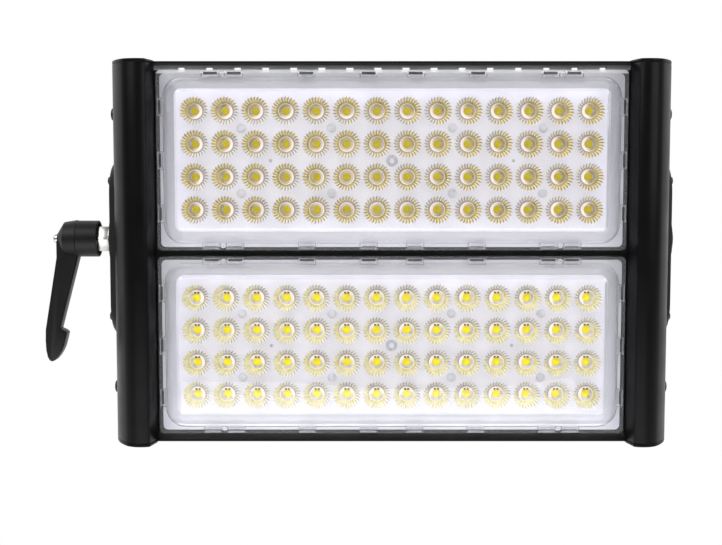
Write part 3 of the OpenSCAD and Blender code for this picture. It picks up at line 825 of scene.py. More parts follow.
class MASTLIGHT_OT_pivot_plates(MastLightOperator, bpy.types.Operator):
    """Makes the pivot plates, their bolts and the arms' side screws"""

    bl_idname = "mast_light.pivot_plates"
    bl_label = "Pivot plates and bolts"

    def execute(self, context):
        s = sizes()
        for name, side in SIDES.items():
            low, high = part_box(f"{name}_pivot_plate")
            inner, face = (high.x, low.x) if side < 0 else (low.x, high.x)
            slim = s.plate_slim if side > 0 else 0.0
            outer = face - side * slim
            mid = (low + high) / 2
            width, height = high.y - low.y, high.z - low.z
            bm = bmesh.new()
            foot = add_outline(bm, (inner, mid.y, mid.z), width, height, s.plate_r, TO_SIDE)
            rise = height - 2 * s.plate_bevel
            top = add_outline(bm, (outer, mid.y, mid.z), width, rise, s.plate_r, TO_SIDE)
            bmesh.ops.bridge_loops(bm, edges=list(foot.edges) + list(top.edges))
            bmesh.ops.recalc_face_normals(bm, faces=bm.faces)
            soften(bm, top.edges, 2 * s.edge, 3)
            nodes = [f"{name}_pivot_plate"]
            add_piece(f"{name}_plate", bm, [powder_finish()], "head", nodes)
            self.heads(f"{name}_plate_bolts", side, face, slim, 3, f"{name}_bolt_heads")
            self.heads(f"{name}_arm_screws", side, inner, 0.0, 2, f"{name}_screw_heads")
        return {"FINISHED"}

    @staticmethod
    def heads(node, side, seat, sunk, count, name):
        """A row of bolt heads along z, seated at x = seat or sunk below it."""
        low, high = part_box(node)
        radius = (high.y - low.y) / 2
        height = (high.x - seat) if side > 0 else (seat - low.x)
        span = high.z - low.z - 2 * radius
        bm = bmesh.new()
        for i in range(count):
            centre = (0.0, (low.y + high.y) / 2, low.z + radius + span * i / (count - 1))
            add_socket_head(bm, radius, height, abs(seat) - sunk, (side, 0.0, 0.0), centre)
        add_piece(name, bm, [oxide_finish()], "head", [node])


class MASTLIGHT_OT_heat_sinks(MastLightOperator, bpy.types.Operator):
    """Makes the finned heat sinks with their lips, and the vents in the upper bar"""

    bl_idname = "mast_light.heat_sinks"
    bl_label = "Heat sinks"

    def execute(self, context):
        s = sizes()
        for level, up in LEVELS.items():
            low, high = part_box(f"{level}_heat_sink")
            plate_low, plate_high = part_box(f"{level}_lens_plate")
            near, far = (low.z, high.z) if up > 0 else (high.z, low.z)
            edge = plate_high.z if up > 0 else plate_low.z
            front = low.y + s.lip_lead
            back = front + s.base_t
            bm = bmesh.new()
            top, foot = far - up * s.lip_t, edge + up * s.lip_gap
            outline = [(front, near), (back, near), (back, far), (low.y, far), (low.y, top), (front, foot)]
            face = bm.faces.new([bm.verts.new((low.x, y, z)) for y, z in outline])
            pull(bm, [face], (high.x - low.x, 0.0, 0.0))
            bmesh.ops.recalc_face_normals(bm, faces=bm.faces)
            outer = [e for e in sharp_edges(bm) if all(abs(v.co.z - near) > s.base_t for v in e.verts)]
            outer = [e for e in outer if abs(e.verts[0].co.x - e.verts[1].co.x) > s.lip_lead]
            soften(bm, outer, s.edge)
            for face in bm.faces:
                slanted = face.normal.y < -0.1 and up * face.normal.z < -0.1
                face.material_index = 1 if slanted else 0
            if up > 0:
                self.cut_vents(bm, plate_low, plate_high, back)
            self.fins(bm, low, high, back, sorted((near + up * s.fin_end, edge - up * s.fin_end)))
            # Painted reflection: the slanted lip faces grade from the sink's black to a pale tone towards
            # their front, as the lens plate's bright edge would reflect in them; the lower sink gets a
            # darker copy.
            pale = colours().lip if up > 0 else colours().low_lip_painted_reflection
            reach = (low.y + 0.2 * s.lip_lead, front)
            smooth = graded_finish(f"Smooth anodised, {level}", colours().sink, pale, (0.0, 1.0, 0.0), reach)
            finishes = [sink_finish(), smooth]
            add_piece(f"{level}_sink", bm, finishes, "head", [f"{level}_heat_sink"])
        return {"FINISHED"}

    @staticmethod
    def fins(bm, low, high, back, ends):
        """The row of fins behind a sink's base."""
        s = sizes()
        count = math.floor((high.x - low.x - s.fin_t) / s.fin_pitch)
        for i in range(count + 1):
            x = (i - count / 2) * s.fin_pitch
            left, right = x - s.fin_t / 2, x + s.fin_t / 2
            verts = add_block(bm, (left, back - s.edge, ends[0]), (right, high.y, ends[1]))
            rear = [e for e in edges_among(verts) if min(v.co.y for v in e.verts) > back]
            soften(bm, rear, s.edge)

    @staticmethod
    def cut_vents(bm, plate_low, plate_high, back):
        """Cuts a row of slots through the bar above the lens plate."""
        s = sizes()
        pitch = (plate_high.x - plate_low.x - 2 * s.vent_end) / (s.vent_count - 1)
        z0 = plate_high.z - s.vent_down
        z1 = z0 + s.vent_h
        middles = [(i - (s.vent_count - 1) / 2) * pitch for i in range(s.vent_count)]
        cuts = [((m + k * s.vent_w / 2, 0.0, 0.0), (1.0, 0.0, 0.0)) for m in middles for k in (-1, 1)]
        cuts += [((0.0, 0.0, z), (0.0, 0.0, 1.0)) for z in (z0, plate_high.z + s.lip_gap, z1)]
        for place, normal in cuts:
            split(bm, place, normal)
        bm.normal_update()
        for m in middles:
            gone = [
                f for f in bm.faces
                if abs(f.normal.y) > 0.5
                and abs(f.calc_center_median().x - m) < s.vent_w / 2
                and z0 < f.calc_center_median().z < z1
            ]
            edges = {e for f in gone for e in f.edges}
            bmesh.ops.delete(bm, geom=gone, context="FACES")
            mouth = [e for e in edges if e.is_valid and e.is_boundary and e.verts[0].co.y < back - MERGE]
            made = bmesh.ops.extrude_edge_only(bm, edges=mouth)["geom"]
            for vert in only(made, BMVert):
                vert.co.y = back


class MASTLIGHT_OT_led_boards(MastLightOperator, bpy.types.Operator):
    """Makes the LED boards, their screws and pads, and the gaskets"""

    bl_idname = "mast_light.led_boards"
    bl_label = "LED boards and gaskets"

    def execute(self, context):
        s, c = sizes(), colours()
        white = toned_finish("White solder mask", c.board, 0.94, 45.0, (0.35, 0.5))
        pad = toned_finish("Tinned pad", c.pad, 0.7, 500.0, (0.3, 0.45))
        for level in LEVELS:
            low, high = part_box(f"{level}_led_board")
            mid = (low + high) / 2
            bm = bmesh.new()
            size = high - low
            face = add_outline(bm, (mid.x, high.y, mid.z), size.x, size.z, s.board_r)
            pull(bm, [face], (0.0, -size.y, 0.0))
            bm.normal_update()
            soften(bm, sharp_edges(bm), BOARD_EDGE, 1)
            add_piece(f"{level}_board", bm, [white], "head", [f"{level}_led_board"])
            self.screws(level, low.y, mid, pad)
            self.gasket(level)
        return {"FINISHED"}

    @staticmethod
    def screws(level, face_y, mid, pad):
        """Board screws, and the pads round the board's middle."""
        low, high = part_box(f"{level}_board_screws")
        bm = bmesh.new()
        height = face_y - low.y
        head = [(0.0, SCREW_R), (0.4 * height, SCREW_R), (0.8 * height, 0.75 * SCREW_R), (height, 0.0)]
        for x in SCREW_COLUMNS:
            for z in (low.z + SCREW_R, high.z - SCREW_R):
                add_turned(bm, head, (x * (high.x - SCREW_R), face_y, z), FRONT, 20)
        steel = len(bm.faces)
        add_turned(bm, PAD_RING, (mid.x, face_y, mid.z), FRONT, 24)
        for side in SIDES.values():
            add_turned(bm, PAD_DOT, (side * PAD_DOT_X, face_y, mid.z), FRONT, 16)
        for face in list(bm.faces)[steel:]:
            face.material_index = 1
        finishes = [toned_finish("Nickel screw", colours().screw, 0.85, 300.0, (0.3, 0.45)), pad]
        add_piece(f"{level}_board_fittings", bm, finishes, "head", [f"{level}_board_screws"])

    @staticmethod
    def gasket(level):
        """The frame under a lens plate's rim, up to the board."""
        s = sizes()
        low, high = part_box(f"{level}_gasket")
        board_low, board_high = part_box(f"{level}_led_board")
        mid = (low + high) / 2
        size = high - low
        hole = board_high - board_low + Vector((s.gasket_gap, 0.0, s.gasket_gap)) * 2
        bm = bmesh.new()
        place = (mid.x, low.y, mid.z)
        loops = open_loop(bm, add_outline(bm, place, size.x, size.z, s.rim_r))
        loops += open_loop(bm, add_outline(bm, place, hole.x, hole.z, s.board_r + s.gasket_gap))
        pull(bm, fill(bm, loops), (0.0, size.y, 0.0))
        # Painted light: the lower gasket is a lighter, painted lit copy of the upper one, and each gasket
        # grades lighter towards its bottom.
        painted_light_lift = 1.0 if level == "upper" else 1.2
        tones = [shade_of(tone, painted_light_lift) for tone in (colours().gasket, colours().gasket_painted_light)]
        rubber = graded_finish(f"Silicone, {level}", *tones, (0.0, 0.0, 1.0), (high.z, low.z))
        add_piece(f"{level}_seal", bm, [rubber], "head", [f"{level}_gasket"])


def lens_places(level):
    """The middles of a module's lenses, on the faces of its chips."""
    low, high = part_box(f"{level}_led_chips")
    half = sizes().chip_w / 2
    for i in range(COLUMNS):
        for j in range(ROWS):
            x = low.x + half + (high.x - low.x - 2 * half) * i / (COLUMNS - 1)
            z = low.z + half + (high.z - low.z - 2 * half) * j / (ROWS - 1)
            yield Vector((x, low.y, z))


class MASTLIGHT_OT_led_chips(MastLightOperator, bpy.types.Operator):
    """Makes the LED chips with their phosphor and solder marks"""

    bl_idname = "mast_light.led_chips"
    bl_label = "LED chips"

    def execute(self, context):
        s, c = sizes(), colours()
        brown = toned_finish("Chip edge", c.chip_edge, 0.7, 700.0, (0.4, 0.6), 0.3)
        half = s.chip_w / 2
        # Painted light: the lower chips get the lighter, painted lit phosphor tone.
        for level, tone in zip(LEVELS, (c.phosphor, c.pale_phosphor)):
            yellow = toned_finish(f"Phosphor, {level}", tone, 0.85, 420.0, (0.4, 0.55), 0.05)
            low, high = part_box(f"{level}_led_chips")
            rise = 0.8 * s.cup_end
            bm, base, dome = bmesh.new(), bmesh.new(), bmesh.new()
            add_block(base, (-half, 0.0, -half), (half, high.y - low.y, half))
            for side in SIDES.values() if level == "lower" else ():
                mark = Vector((side * MARK_X, 0.0, half))
                add_block(base, mark + MARK_LOW, mark + MARK_HIGH)
            for face in base.faces:
                face.material_index = 1
            profile = [(0.0, s.dome_r), (0.6 * rise, 0.9 * s.dome_r), (rise, 0.55 * s.dome_r), (rise, 0.0)]
            add_turned(dome, profile, (0.0, 0.0, 0.0), FRONT, 16)
            add_copies(bm, base, lens_places(level))
            add_copies(bm, dome, lens_places(level))
            add_piece(f"{level}_chips", bm, [yellow, brown], "head", [f"{level}_led_chips"])
        return {"FINISHED"}


class MASTLIGHT_OT_lens_cups(MastLightOperator, bpy.types.Operator):
    """Makes the fluted lens cups behind the panes"""

    bl_idname = "mast_light.lens_cups"
    bl_label = "Lens cups"

    def execute(self, context):
        s, c = sizes(), colours()
        # Painted light: the flute tones are a painted reflection of the LED's yellow, with lighter, painted
        # lit copies in the lower module; the lower wells are a painted lit copy too.
        tones = (c.olive_painted_reflection, c.straw_painted_lit_reflection), (c.tan, c.cream_painted_lit_reflection), (c.well, c.well_painted_light)
        for level, dark, light, well in zip(LEVELS, *tones):
            finishes = [
                petal_finish(f"Flute, {level}", dark, light, c.shade),
                # Painted shade: the pale flanks, where the board shows through, darken on the sides towards
                # the head's middle.
                petal_finish(f"Flute flank, {level}", c.pale, shade_of(c.pale, 0.85), shade_of(c.pale, 0.9)),
                # Painted light and shadow: the collar goes to its pale tone on one side, and the well round
                # the chip is a painted shadow that goes to the same pale tone on that side.
                petal_finish(f"Pale collar, {level}", shade_of(well, 1.2), well, c.collar, (-0.035, 0.005)),
                petal_finish(f"Lens well, {level}", well, shade_of(well, 0.7), c.collar, (-0.015, 0.03)),
            ]
            pane_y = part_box(f"{level}_lens_plate")[0].y + s.pane_t
            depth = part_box(f"{level}_led_chips")[0].y - pane_y - s.cup_end
            bm = bmesh.new()
            add_copies(bm, self.flutes(depth), lens_places(level))
            add_copies(bm, self.well(depth), lens_places(level))
            add_piece(f"{level}_lens_cups", bm, finishes, "head", [])
        return {"FINISHED"}

    @staticmethod
    def flutes(depth):
        """The fluted wall of one lens, from the pane down to its collar."""
        s = sizes()
        bm = bmesh.new()
        shoulder = (s.notch_r + s.collar_r) / 2
        rings = [
            (s.flute_r, s.notch_r, -0.98 * depth), (shoulder, 0.93 * shoulder, -0.45 * depth),
            (s.collar_r, s.collar_r, -0.18 * depth),
        ]
        loops = []
        for tip, notch, y in rings:
            verts = add_ring(bm, 2 * s.flute_count, tip, (0.0, y - s.cup_end, 0.0), TO_FRONT)
            for vert in verts[1::2]:
                vert.co.x, vert.co.z = vert.co.x * notch / tip, vert.co.z * notch / tip
            loops.append(verts)
        turn = {v: i for verts in loops for i, v in enumerate(verts)}
        for outer, inner in zip(loops, loops[1:]):
            edges = list(edges_among(outer)) + list(edges_among(inner))
            for face in bmesh.ops.bridge_loops(bm, edges=edges)["faces"]:
                first, last = min(turn[v] for v in face.verts), max(turn[v] for v in face.verts)
                flank = first % 2 if last - first == 1 else 1
                face.material_index = flank if outer is loops[0] else 0
        return bm

    @staticmethod
    def well(depth):
        """The collar of one lens and the well over its chip."""
        s = sizes()
        bm = bmesh.new()
        profile = [
            (s.cup_end + 0.18 * depth, s.collar_r), (s.cup_end + 0.16 * depth, s.well_r),
            (s.cup_end + 0.06 * depth, 0.9 * s.well_r), (s.cup_end, s.dome_r),
        ]
        add_turned(bm, profile, (0.0, 0.0, 0.0), FRONT, 24)
        for face in bm.faces:
            face.material_index = 2 if max(v.co.xz.length for v in face.verts) > s.well_r + MERGE else 3
        return bm


def add_catch(bm, place, size, shift, shade):
    """A raised block on the rim with a slot in its front, shifted towards the plate's edge."""
    half = Vector((size[0] / 2, 0.0, size[2] / 2))
    low, high = place - half - Vector((0.0, size[1], 0.0)), place + half + Vector((0.0, CATCH_ROOT, 0.0))
    faces = faces_among(add_block(bm, low, high))
    for face in faces:
        face.material_index = 1
    top = min(faces, key=lambda f: f.calc_center_median().y)
    wall = 0.32 * min(size[0], size[2])
    bmesh.ops.inset_region(bm, faces=[top], thickness=wall, depth=0.0, use_even_offset=True)
    bmesh.ops.translate(bm, verts=list(top.verts), vec=Vector(shift) + Vector((0.0, 0.8 * size[1], 0.0)))
    top.material_index = shade


class MASTLIGHT_OT_lens_plates(MastLightOperator, bpy.types.Operator):
    """Makes the clear moulded lens plates with their rims and snap catches"""

    bl_idname = "mast_light.lens_plates"
    bl_label = "Lens plates"

    def execute(self, context):
        c = colours()
        clear = clear_finish("Clear plastic", c.clear, 0.02, 1.0)
        rim = clear_finish("Rim plastic", c.rim, 0.06, RIM_CLEAR)
        hazy = clear_finish("Hazy rim", c.rim, 0.06, HAZE_CLEAR)
        dark = toned_finish("Slot shade", c.slot, 2.0, 200.0, (0.4, 0.6))
        lit = toned_finish("Lit slot", c.lit_slot, 0.7, 200.0, (0.4, 0.6))
        for level in LEVELS:
            low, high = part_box(f"{level}_lens_plate")
            finishes = [clear, rim, dark, lit]
            bm = bmesh.new()
            self.tray(bm, low, high)
            self.catches(bm, low, high)
            if level == "upper":
                self.haze(bm, high.z - HAZE_W, len(finishes))
                finishes.append(hazy)
            nodes = [f"{level}_lens_plate"]
            add_piece(f"{level}_lens_tray", bm, finishes, "head", nodes)
        return {"FINISHED"}

    @staticmethod
    def haze(bm, height, slot):
        """Parts the rim at a height and gives its faces above it a material slot."""
        split(bm, (0.0, 0.0, height), (0.0, 0.0, 1.0))
        for face in bm.faces:
            if face.material_index == 1 and face.calc_center_median().z > height:
                face.material_index = slot

    @staticmethod
    def tray(bm, low, high):
        """The pane, its sloped wall, a bead at the wall's foot and the rim, as one closed shell."""
        s = sizes()
        mid = (low + high) / 2
        rim_y = low.y + s.pane_rise
        width, height = high.x - low.x, high.z - low.z
        edge = open_loop(bm, add_outline(bm, (mid.x, rim_y, mid.z), width, height, s.rim_r))
        inset = 2 * (s.rim_w - s.bead_w)
        pane = add_outline(bm, (mid.x, rim_y, mid.z), width - inset, height - inset, s.slope_r)
        bmesh.ops.bridge_loops(bm, edges=edge + list(pane.edges))
        steps = (
            (0.25 * s.bead_w, s.bead_h), (0.5 * s.bead_w, 0.0), (0.25 * s.bead_w, -s.bead_h),
            (s.slope_w, s.pane_rise),
        )
        for run, rise in steps:
            bmesh.ops.inset_individual(bm, faces=[pane], thickness=run, use_even_offset=True)
            bmesh.ops.translate(bm, verts=list(pane.verts), vec=(0.0, -rise, 0.0))
        for face in bm.faces:
            face.material_index = 0 if face is pane else 1
        soften(bm, pane.edges, 3 * s.bead_h, 3)
        pull(bm, bm.faces, (0.0, s.pane_t, 0.0))

    @staticmethod
    def catches(bm, low, high):
        """Snap catches along the rim, each with a slot, and the bosses between the outer pairs."""
        mid = (low + high) / 2
        half = (high - low) / 2
        front = low.y + sizes().pane_rise
        for sx in (-1, 1):
            for sz in (-1, 1):
                z = mid.z + sz * (half.z - CATCH_SEAT)
                shift, shade = (0.0, 0.0, sz * SLOT_SHIFT), 2 if sz > 0 else 3
                for x in CATCH_COLUMNS:
                    place = Vector((mid.x + sx * x, front, z))
                    add_catch(bm, place, (CATCH_W, CATCH_LIFT, CATCH_T), shift, shade)
                old = set(bm.faces)
                x = sum(CATCH_COLUMNS[2:]) / 2
                add_turned(bm, BOSS, (mid.x + sx * x, front, z), FRONT, 16)
                for face in bm.faces:
                    if face not in old:
                        face.material_index = 1
            for z in CATCH_ROWS:
                place = Vector((mid.x + sx * (half.x - CATCH_SEAT), front, mid.z + z))
                add_catch(bm, place, (CATCH_T, CATCH_LIFT, CATCH_W), (sx * SLOT_SHIFT, 0.0, 0.0), 2)


class MASTLIGHT_OT_yoke(MastLightOperator, bpy.types.Operator):
    """Makes the bent steel yoke"""

    bl_idname = "mast_light.yoke"
    bl_label = "Yoke"

    def execute(self, context):
        s = sizes()
        low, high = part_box("yoke")
        half = (high.z - low.z) / 2
        axis_y = low.y + half
        bend = s.yoke_bend + s.yoke_t
        bm = bmesh.new()
        tip = bm.verts.new((high.x, axis_y, -half))
        arc = bmesh.ops.spin(
            bm, geom=[tip], cent=(high.x, axis_y, 0.0), axis=(1.0, 0.0, 0.0), angle=-math.pi, steps=24
        )["geom_last"]
        end = only(arc, BMVert)[0]
        corners = [bm.verts.new((high.x, high.y - bend, z)) for z in (half, -half)]
        for pair in ((end, corners[0]), (corners[0], corners[1]), (corners[1], tip)):
            bm.edges.new(pair)
        add_ring(bm, 32, s.pivot_r, (high.x, axis_y, 0.0), ALONG_X)
        pull(bm, fill(bm, bm.edges), (-s.yoke_t, 0.0, 0.0))
        loop = open_loop(bm, max(bm.faces, key=lambda f: f.calc_center_median().y))
        centre = (high.x - bend, high.y - bend, 0.0)
        bmesh.ops.spin(
            bm, geom=loop, cent=centre, axis=(0.0, 0.0, 1.0), angle=math.radians(90), steps=8
        )
        before = set(bm.edges)
        turn_x = high.x - bend
        outline = ((turn_x, -half), (turn_x, half), (0.0, half), (0.0, -half))
        rim = [bm.verts.new((x, high.y, z)) for x, z in outline]
        for pair in zip(rim, rim[1:] + rim[:1]):
            bm.edges.new(pair)
        add_ring(bm, 32, s.fix_r, (s.fix_pitch / 2, high.y, 0.0), TO_FRONT)
        bar = fill(bm, [e for e in bm.edges if e not in before])
        pull(bm, bar, (0.0, -s.yoke_t, 0.0))
        ends = [
            f for f in bm.faces
            if abs(f.normal.x) > 0.9 and f.calc_center_median().y > high.y - s.yoke_t
            and all(abs(v.co.x - f.verts[0].co.x) < MERGE for v in f.verts) and len(f.verts) == 4
        ]
        bmesh.ops.delete(bm, geom=ends, context="FACES_ONLY")
        bmesh.ops.remove_doubles(bm, verts=bm.verts, dist=MERGE)
        bmesh.ops.mirror(bm, geom=bm.verts[:] + bm.edges[:] + bm.faces[:], axis="X", merge_dist=MERGE)
        bmesh.ops.recalc_face_normals(bm, faces=bm.faces)
        bmesh.ops.dissolve_limit(bm, angle_limit=math.radians(1), verts=bm.verts, edges=bm.edges)
        soften(bm, sharp_edges(bm, 60), YOKE_EDGE)
        add_piece("yoke_strap", bm, [powder_finish()], "bracket", ["yoke"])
        return {"FINISHED"}


class MASTLIGHT_OT_pivots(MastLightOperator, bpy.types.Operator):
    """Makes the stud, washer and lock nut on the left, the bolt on the right, and the gland"""

    bl_idname = "mast_light.pivots"
    bl_label = "Pivots and gland"

    def execute(self, context):
        self.stud()
        self.washer_and_nut()
        self.right_bolt()
        self.gland()
        return {"FINISHED"}

    @staticmethod
    def stud():
        """The left pivot stud with its hex head inside the arm."""
        low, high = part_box("left_pivot_stud")
        mid = (low + high) / 2
        bm = bmesh.new()
        end = -low.x
        profile = [
            (-high.x, 0.0), (-high.x, THREAD_R), (end - THREAD_END, THREAD_R),
            (end, THREAD_R - THREAD_END), (end, 0.0),
        ]
        add_turned(bm, profile, (0.0, mid.y, mid.z), (-1.0, 0.0, 0.0), 32)
        place = Matrix.Translation((0.0, mid.y, mid.z)) @ ALONG_X
        add_hexagon(bm, (high.z - low.z) / 2, high.x - HEX_T, high.x, place, sizes().edge)
        add_piece("pivot_stud", bm, [zinc_finish()], "head", ["left_pivot_stud"])

    @staticmethod
    def washer_and_nut():
        """The washer and the lock nut on the stud."""
        s = sizes()
        for node, name, segments in (
            ("left_pivot_washer", "pivot_washer", 48),
            ("left_pivot_nut", "pivot_lock_nut", 6),
        ):
            low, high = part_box(node)
            mid = (low + high) / 2
            bm = bmesh.new()
            centre = (high.x, mid.y, mid.z)
            add_ring(bm, segments, (high.z - low.z) / 2, centre, ALONG_X)
            add_ring(bm, 32, s.pivot_r, centre, ALONG_X)
            pull(bm, fill(bm, bm.edges), (low.x - high.x, 0.0, 0.0))
            bmesh.ops.recalc_face_normals(bm, faces=bm.faces)
            soften(bm, sharp_edges(bm, 30), s.edge)
            add_piece(name, bm, [zinc_finish()], "head", [node])

    @staticmethod
    def right_bolt():
        """The button-headed pivot bolt on the right."""
        low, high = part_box("right_pivot_bolt")
        mid = (low + high) / 2
        bm = bmesh.new()
        seat = high.x - BUTTON_T
        add_socket_head(bm, BUTTON_R, BUTTON_T, seat, (1.0, 0.0, 0.0), (0.0, mid.y, mid.z))
        shank = [(low.x, 0.0), (low.x, THREAD_R), (seat, THREAD_R), (seat, 0.0)]
        add_turned(bm, shank, (0.0, mid.y, mid.z), (1.0, 0.0, 0.0), 32)
        place = Matrix.Translation((0.0, mid.y, mid.z)) @ ALONG_X
        add_hexagon(bm, (high.z - low.z) / 2, low.x, low.x + HEX_T, place, sizes().edge)
        add_piece("right_bolt", bm, [oxide_finish()], "head", ["right_pivot_bolt"])

    @staticmethod
    def gland():
        """The cable gland: a hex foot, a neck and a ribbed dome nut with a bore in its end."""
        low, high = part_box("cable_gland")
        mid = (low + high) / 2
        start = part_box("right_arm")[1].y
        bm = bmesh.new()
        place = Matrix.Translation((mid.x, start, mid.z)) @ TO_FRONT.inverted()
        add_hexagon(bm, (high.x - low.x) / 2, 0.0, GLAND_HEX_T, place, GLAND_EDGE)
        foot, dome, end = low.y - start, GLAND_HEX_T + GLAND_NECK_T, high.y - start
        profile = [
            (foot, 0.0), (foot, GLAND_NECK_R), (dome, GLAND_NECK_R), (dome, GLAND_DOME_R),
            (end - 0.004, GLAND_DOME_R), (end - 0.001, GLAND_DOME_R - 0.0025), (end, GLAND_DOME_R - 0.004),
            (end, GLAND_BORE_R), (end - GLAND_BORE_L, GLAND_BORE_R), (end - GLAND_BORE_L, 0.0),
        ]
        add_turned(bm, profile, (mid.x, start, mid.z), (0.0, 1.0, 0.0), 36)
        near, far = start + dome + RIB_START, start + end - RIB_END
        for i in range(GLAND_RIBS):
            turn = Matrix.Rotation(FULL_TURN * i / GLAND_RIBS, 4, "Y")
            verts = add_block(bm, (-RIB_HALF, near, RIB_LOW), (RIB_HALF, far, RIB_HIGH))
            bmesh.ops.transform(bm, verts=verts, matrix=Matrix.Translation((mid.x, 0.0, mid.z)) @ turn)
        add_piece("gland", bm, [nylon_finish()], "head", ["cable_gland"])


class MASTLIGHT_OT_lever(MastLightOperator, bpy.types.Operator):
    """Makes the clamping lever and its end screw"""

    bl_idname = "mast_light.lever"
    bl_label = "Clamping lever"

    def execute(self, context):
        s = sizes()
        low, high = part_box("lever_handle")
        screw_low, screw_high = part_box("lever_screw")
        axis_y, axis_z = (screw_low.y + screw_high.y) / 2, (screw_low.z + screw_high.z) / 2
        hub_r = high.z - axis_z
        start, end = -high.x, -screw_high.x
        bm = bmesh.new()
        collar = (start + end) / 2
        wall, taper, step = hub_r - s.skirt_t, 0.9 * hub_r, HUB_STEP
        profile = [
            (start + s.skirt_l, 0.0), (start + s.skirt_l, wall), (start, wall), (start, hub_r - 2 * step),
            (start + step, hub_r - step), (collar, hub_r - step), (collar + step, hub_r),
            (collar + 3 * step, hub_r), (end - s.hub_bevel_l - 2 * step, taper),
            (end - s.hub_bevel_l, taper - 2 * step), (end - step, s.hub_face_r + step),
            (end, s.hub_face_r), (end, 0.0),
        ]
        add_turned(bm, profile, (0.0, axis_y, axis_z), (-1.0, 0.0, 0.0), 48)
        root, neck = end - s.root_w, axis_z - hub_r
        points = [(root, axis_z), (end - s.shoulder, axis_z), (end, axis_z - s.shoulder), (end, neck)]
        points += [(end + u, low.z + v) for u, v in KNOB]
        points.append((root, neck))
        verts = [bm.verts.new((-x, axis_y - s.lever_t / 2, z)) for x, z in points]
        face = bm.faces.new(verts)
        far = pull(bm, [face], (0.0, s.lever_t, 0.0))[0]
        bm.normal_update()
        soften(bm, [*face.edges, *far.edges], LEVER_EDGE, 3)
        add_piece("clamp_lever", bm, [nylon_finish()], "lever", ["lever_handle"])
        bm = bmesh.new()
        size = screw_high - screw_low
        add_socket_head(bm, size.z / 2, size.x, end, (-1.0, 0.0, 0.0), (0.0, axis_y, axis_z))
        add_piece("lever_end_screw", bm, [zinc_finish()], "lever", ["lever_screw"])
        return {"FINISHED"}


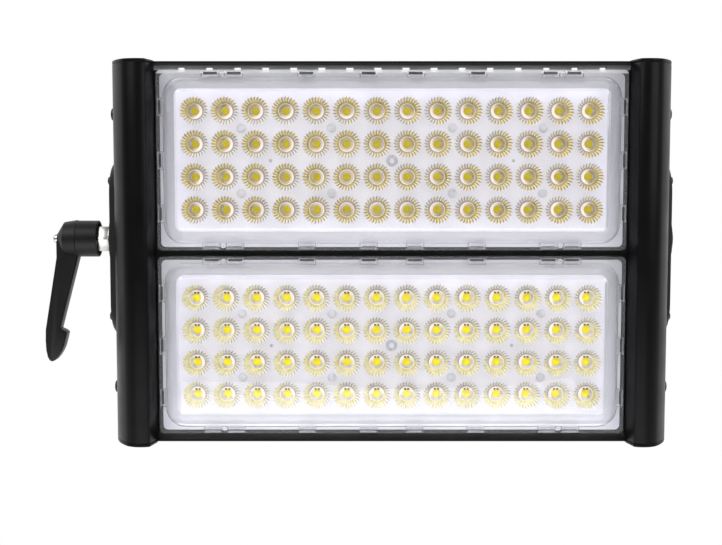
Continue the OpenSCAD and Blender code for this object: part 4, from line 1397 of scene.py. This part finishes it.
class MASTLIGHT_OT_stage(MastLightOperator, bpy.types.Operator):
    """Sets the floor, the light and the camera"""

    bl_idname = "mast_light.stage"
    bl_label = "Stage"

    def execute(self, context):
        scene = context.scene
        stage = scene.mast_light_stage
        scene.view_settings.view_transform = "Standard"
        self.floor(stage.floor_z)
        self.world(scene)
        for name, place, size in LAMPS:
            self.lamp(name, Vector(place), size, getattr(stage, name.lower()))
        camera = bpy.data.cameras.new("Camera")
        camera.sensor_fit = "HORIZONTAL"
        camera.sensor_width = 36.0
        camera.lens = stage.focal
        camera.clip_start = 0.01
        eye = bpy.data.objects.new("Camera", camera)
        eye.location = stage.eye
        eye.rotation_euler = (math.radians(90) - stage.pitch, 0.0, 0.0)
        scene.collection.objects.link(eye)
        scene.camera = eye
        return {"FINISHED"}

    @staticmethod
    def floor(height):
        """A plain pale floor that shows white."""
        bm = bmesh.new()
        place = Matrix.Translation((0.0, FLOOR_Y, height))
        bmesh.ops.create_grid(bm, x_segments=1, y_segments=1, size=FLOOR_SIZE, matrix=place)
        mesh = bpy.data.meshes.new("Floor")
        bm.to_mesh(mesh)
        bm.free()
        floor = bpy.data.objects.new("Floor", mesh)
        bpy.context.scene.collection.objects.link(floor)
        made, tree, shader = new_material("Pale floor")
        set_shader(shader, Base_Color=(0.8, 0.8, 0.8, 1.0), Roughness=0.9)
        white = add_node(tree, "ShaderNodeEmission", {"Color": WHITE, "Strength": 1.0})
        path = add_node(tree, "ShaderNodeLightPath").outputs
        seen = add_math(tree, "ADD", path["Is Camera Ray"], path["Is Transmission Ray"])
        seen = add_math(tree, "ADD", seen, path["Is Glossy Ray"])
        mix_shaders(tree, seen, shader.outputs["BSDF"], white.outputs["Emission"])
        mesh.materials.append(made)

    @staticmethod
    def world(scene):
        """White where the camera looks past the object, and a soft dim room in front."""
        world = bpy.data.worlds.new("Studio")
        world.use_nodes = True
        scene.world = world
        tree = world.node_tree
        glow = map_range(tree, part_of(tree, coord(tree, "Generated"), "Y"), 0.1, 1.0, -0.2, 0.35)
        path = add_node(tree, "ShaderNodeLightPath").outputs
        seen = add_math(tree, "ADD", path["Is Camera Ray"], path["Is Transmission Ray"])
        strength = add_math(tree, "MAXIMUM", seen, glow)
        feed(tree, tree.nodes["Background"], {"Color": WHITE, "Strength": strength})

    @staticmethod
    def lamp(name, place, size, power):
        """A soft lamp that points at the head."""
        data = bpy.data.lights.new(name, "AREA")
        data.shape = "SQUARE"
        data.size = size
        data.energy = power
        lamp = bpy.data.objects.new(name, data)
        lamp.location = place
        lamp.rotation_euler = (LAMP_AIM - place).to_track_quat("-Z", "Y").to_euler()
        bpy.context.scene.collection.objects.link(lamp)


STEPS = (
    MASTLIGHT_OT_side_arms,
    MASTLIGHT_OT_pivot_plates,
    MASTLIGHT_OT_heat_sinks,
    MASTLIGHT_OT_led_boards,
    MASTLIGHT_OT_led_chips,
    MASTLIGHT_OT_lens_cups,
    MASTLIGHT_OT_lens_plates,
    MASTLIGHT_OT_yoke,
    MASTLIGHT_OT_pivots,
    MASTLIGHT_OT_lever,
    MASTLIGHT_OT_stage,
)


class MASTLIGHT_PT_panel(bpy.types.Panel):
    """Lists the steps that dress the light head"""

    bl_idname = "MASTLIGHT_PT_panel"
    bl_label = "Mast light"
    bl_space_type = "VIEW_3D"
    bl_region_type = "UI"
    bl_category = "Mast light"

    def draw(self, context):
        for step in STEPS:
            self.layout.operator(step.bl_idname)


GROUPS = (MastLightSizes, MastLightColours, MastLightStage)
CLASSES = (*GROUPS, *STEPS, MASTLIGHT_PT_panel)


def register():
    """Registers the classes and the user's values."""
    for cls in CLASSES:
        bpy.utils.register_class(cls)
    bpy.types.Scene.mast_light_sizes = PointerProperty(type=MastLightSizes)
    bpy.types.Scene.mast_light_colours = PointerProperty(type=MastLightColours)
    bpy.types.Scene.mast_light_stage = PointerProperty(type=MastLightStage)


def unregister():
    """Takes the classes and the user's values away."""
    del bpy.types.Scene.mast_light_stage
    del bpy.types.Scene.mast_light_colours
    del bpy.types.Scene.mast_light_sizes
    for cls in reversed(CLASSES):
        bpy.utils.unregister_class(cls)


def main():
    """Makes every piece."""
    register()
    for step in STEPS:
        group, name = step.bl_idname.split(".")
        getattr(getattr(bpy.ops, group), name)()


if __name__ == "__main__":
    main()
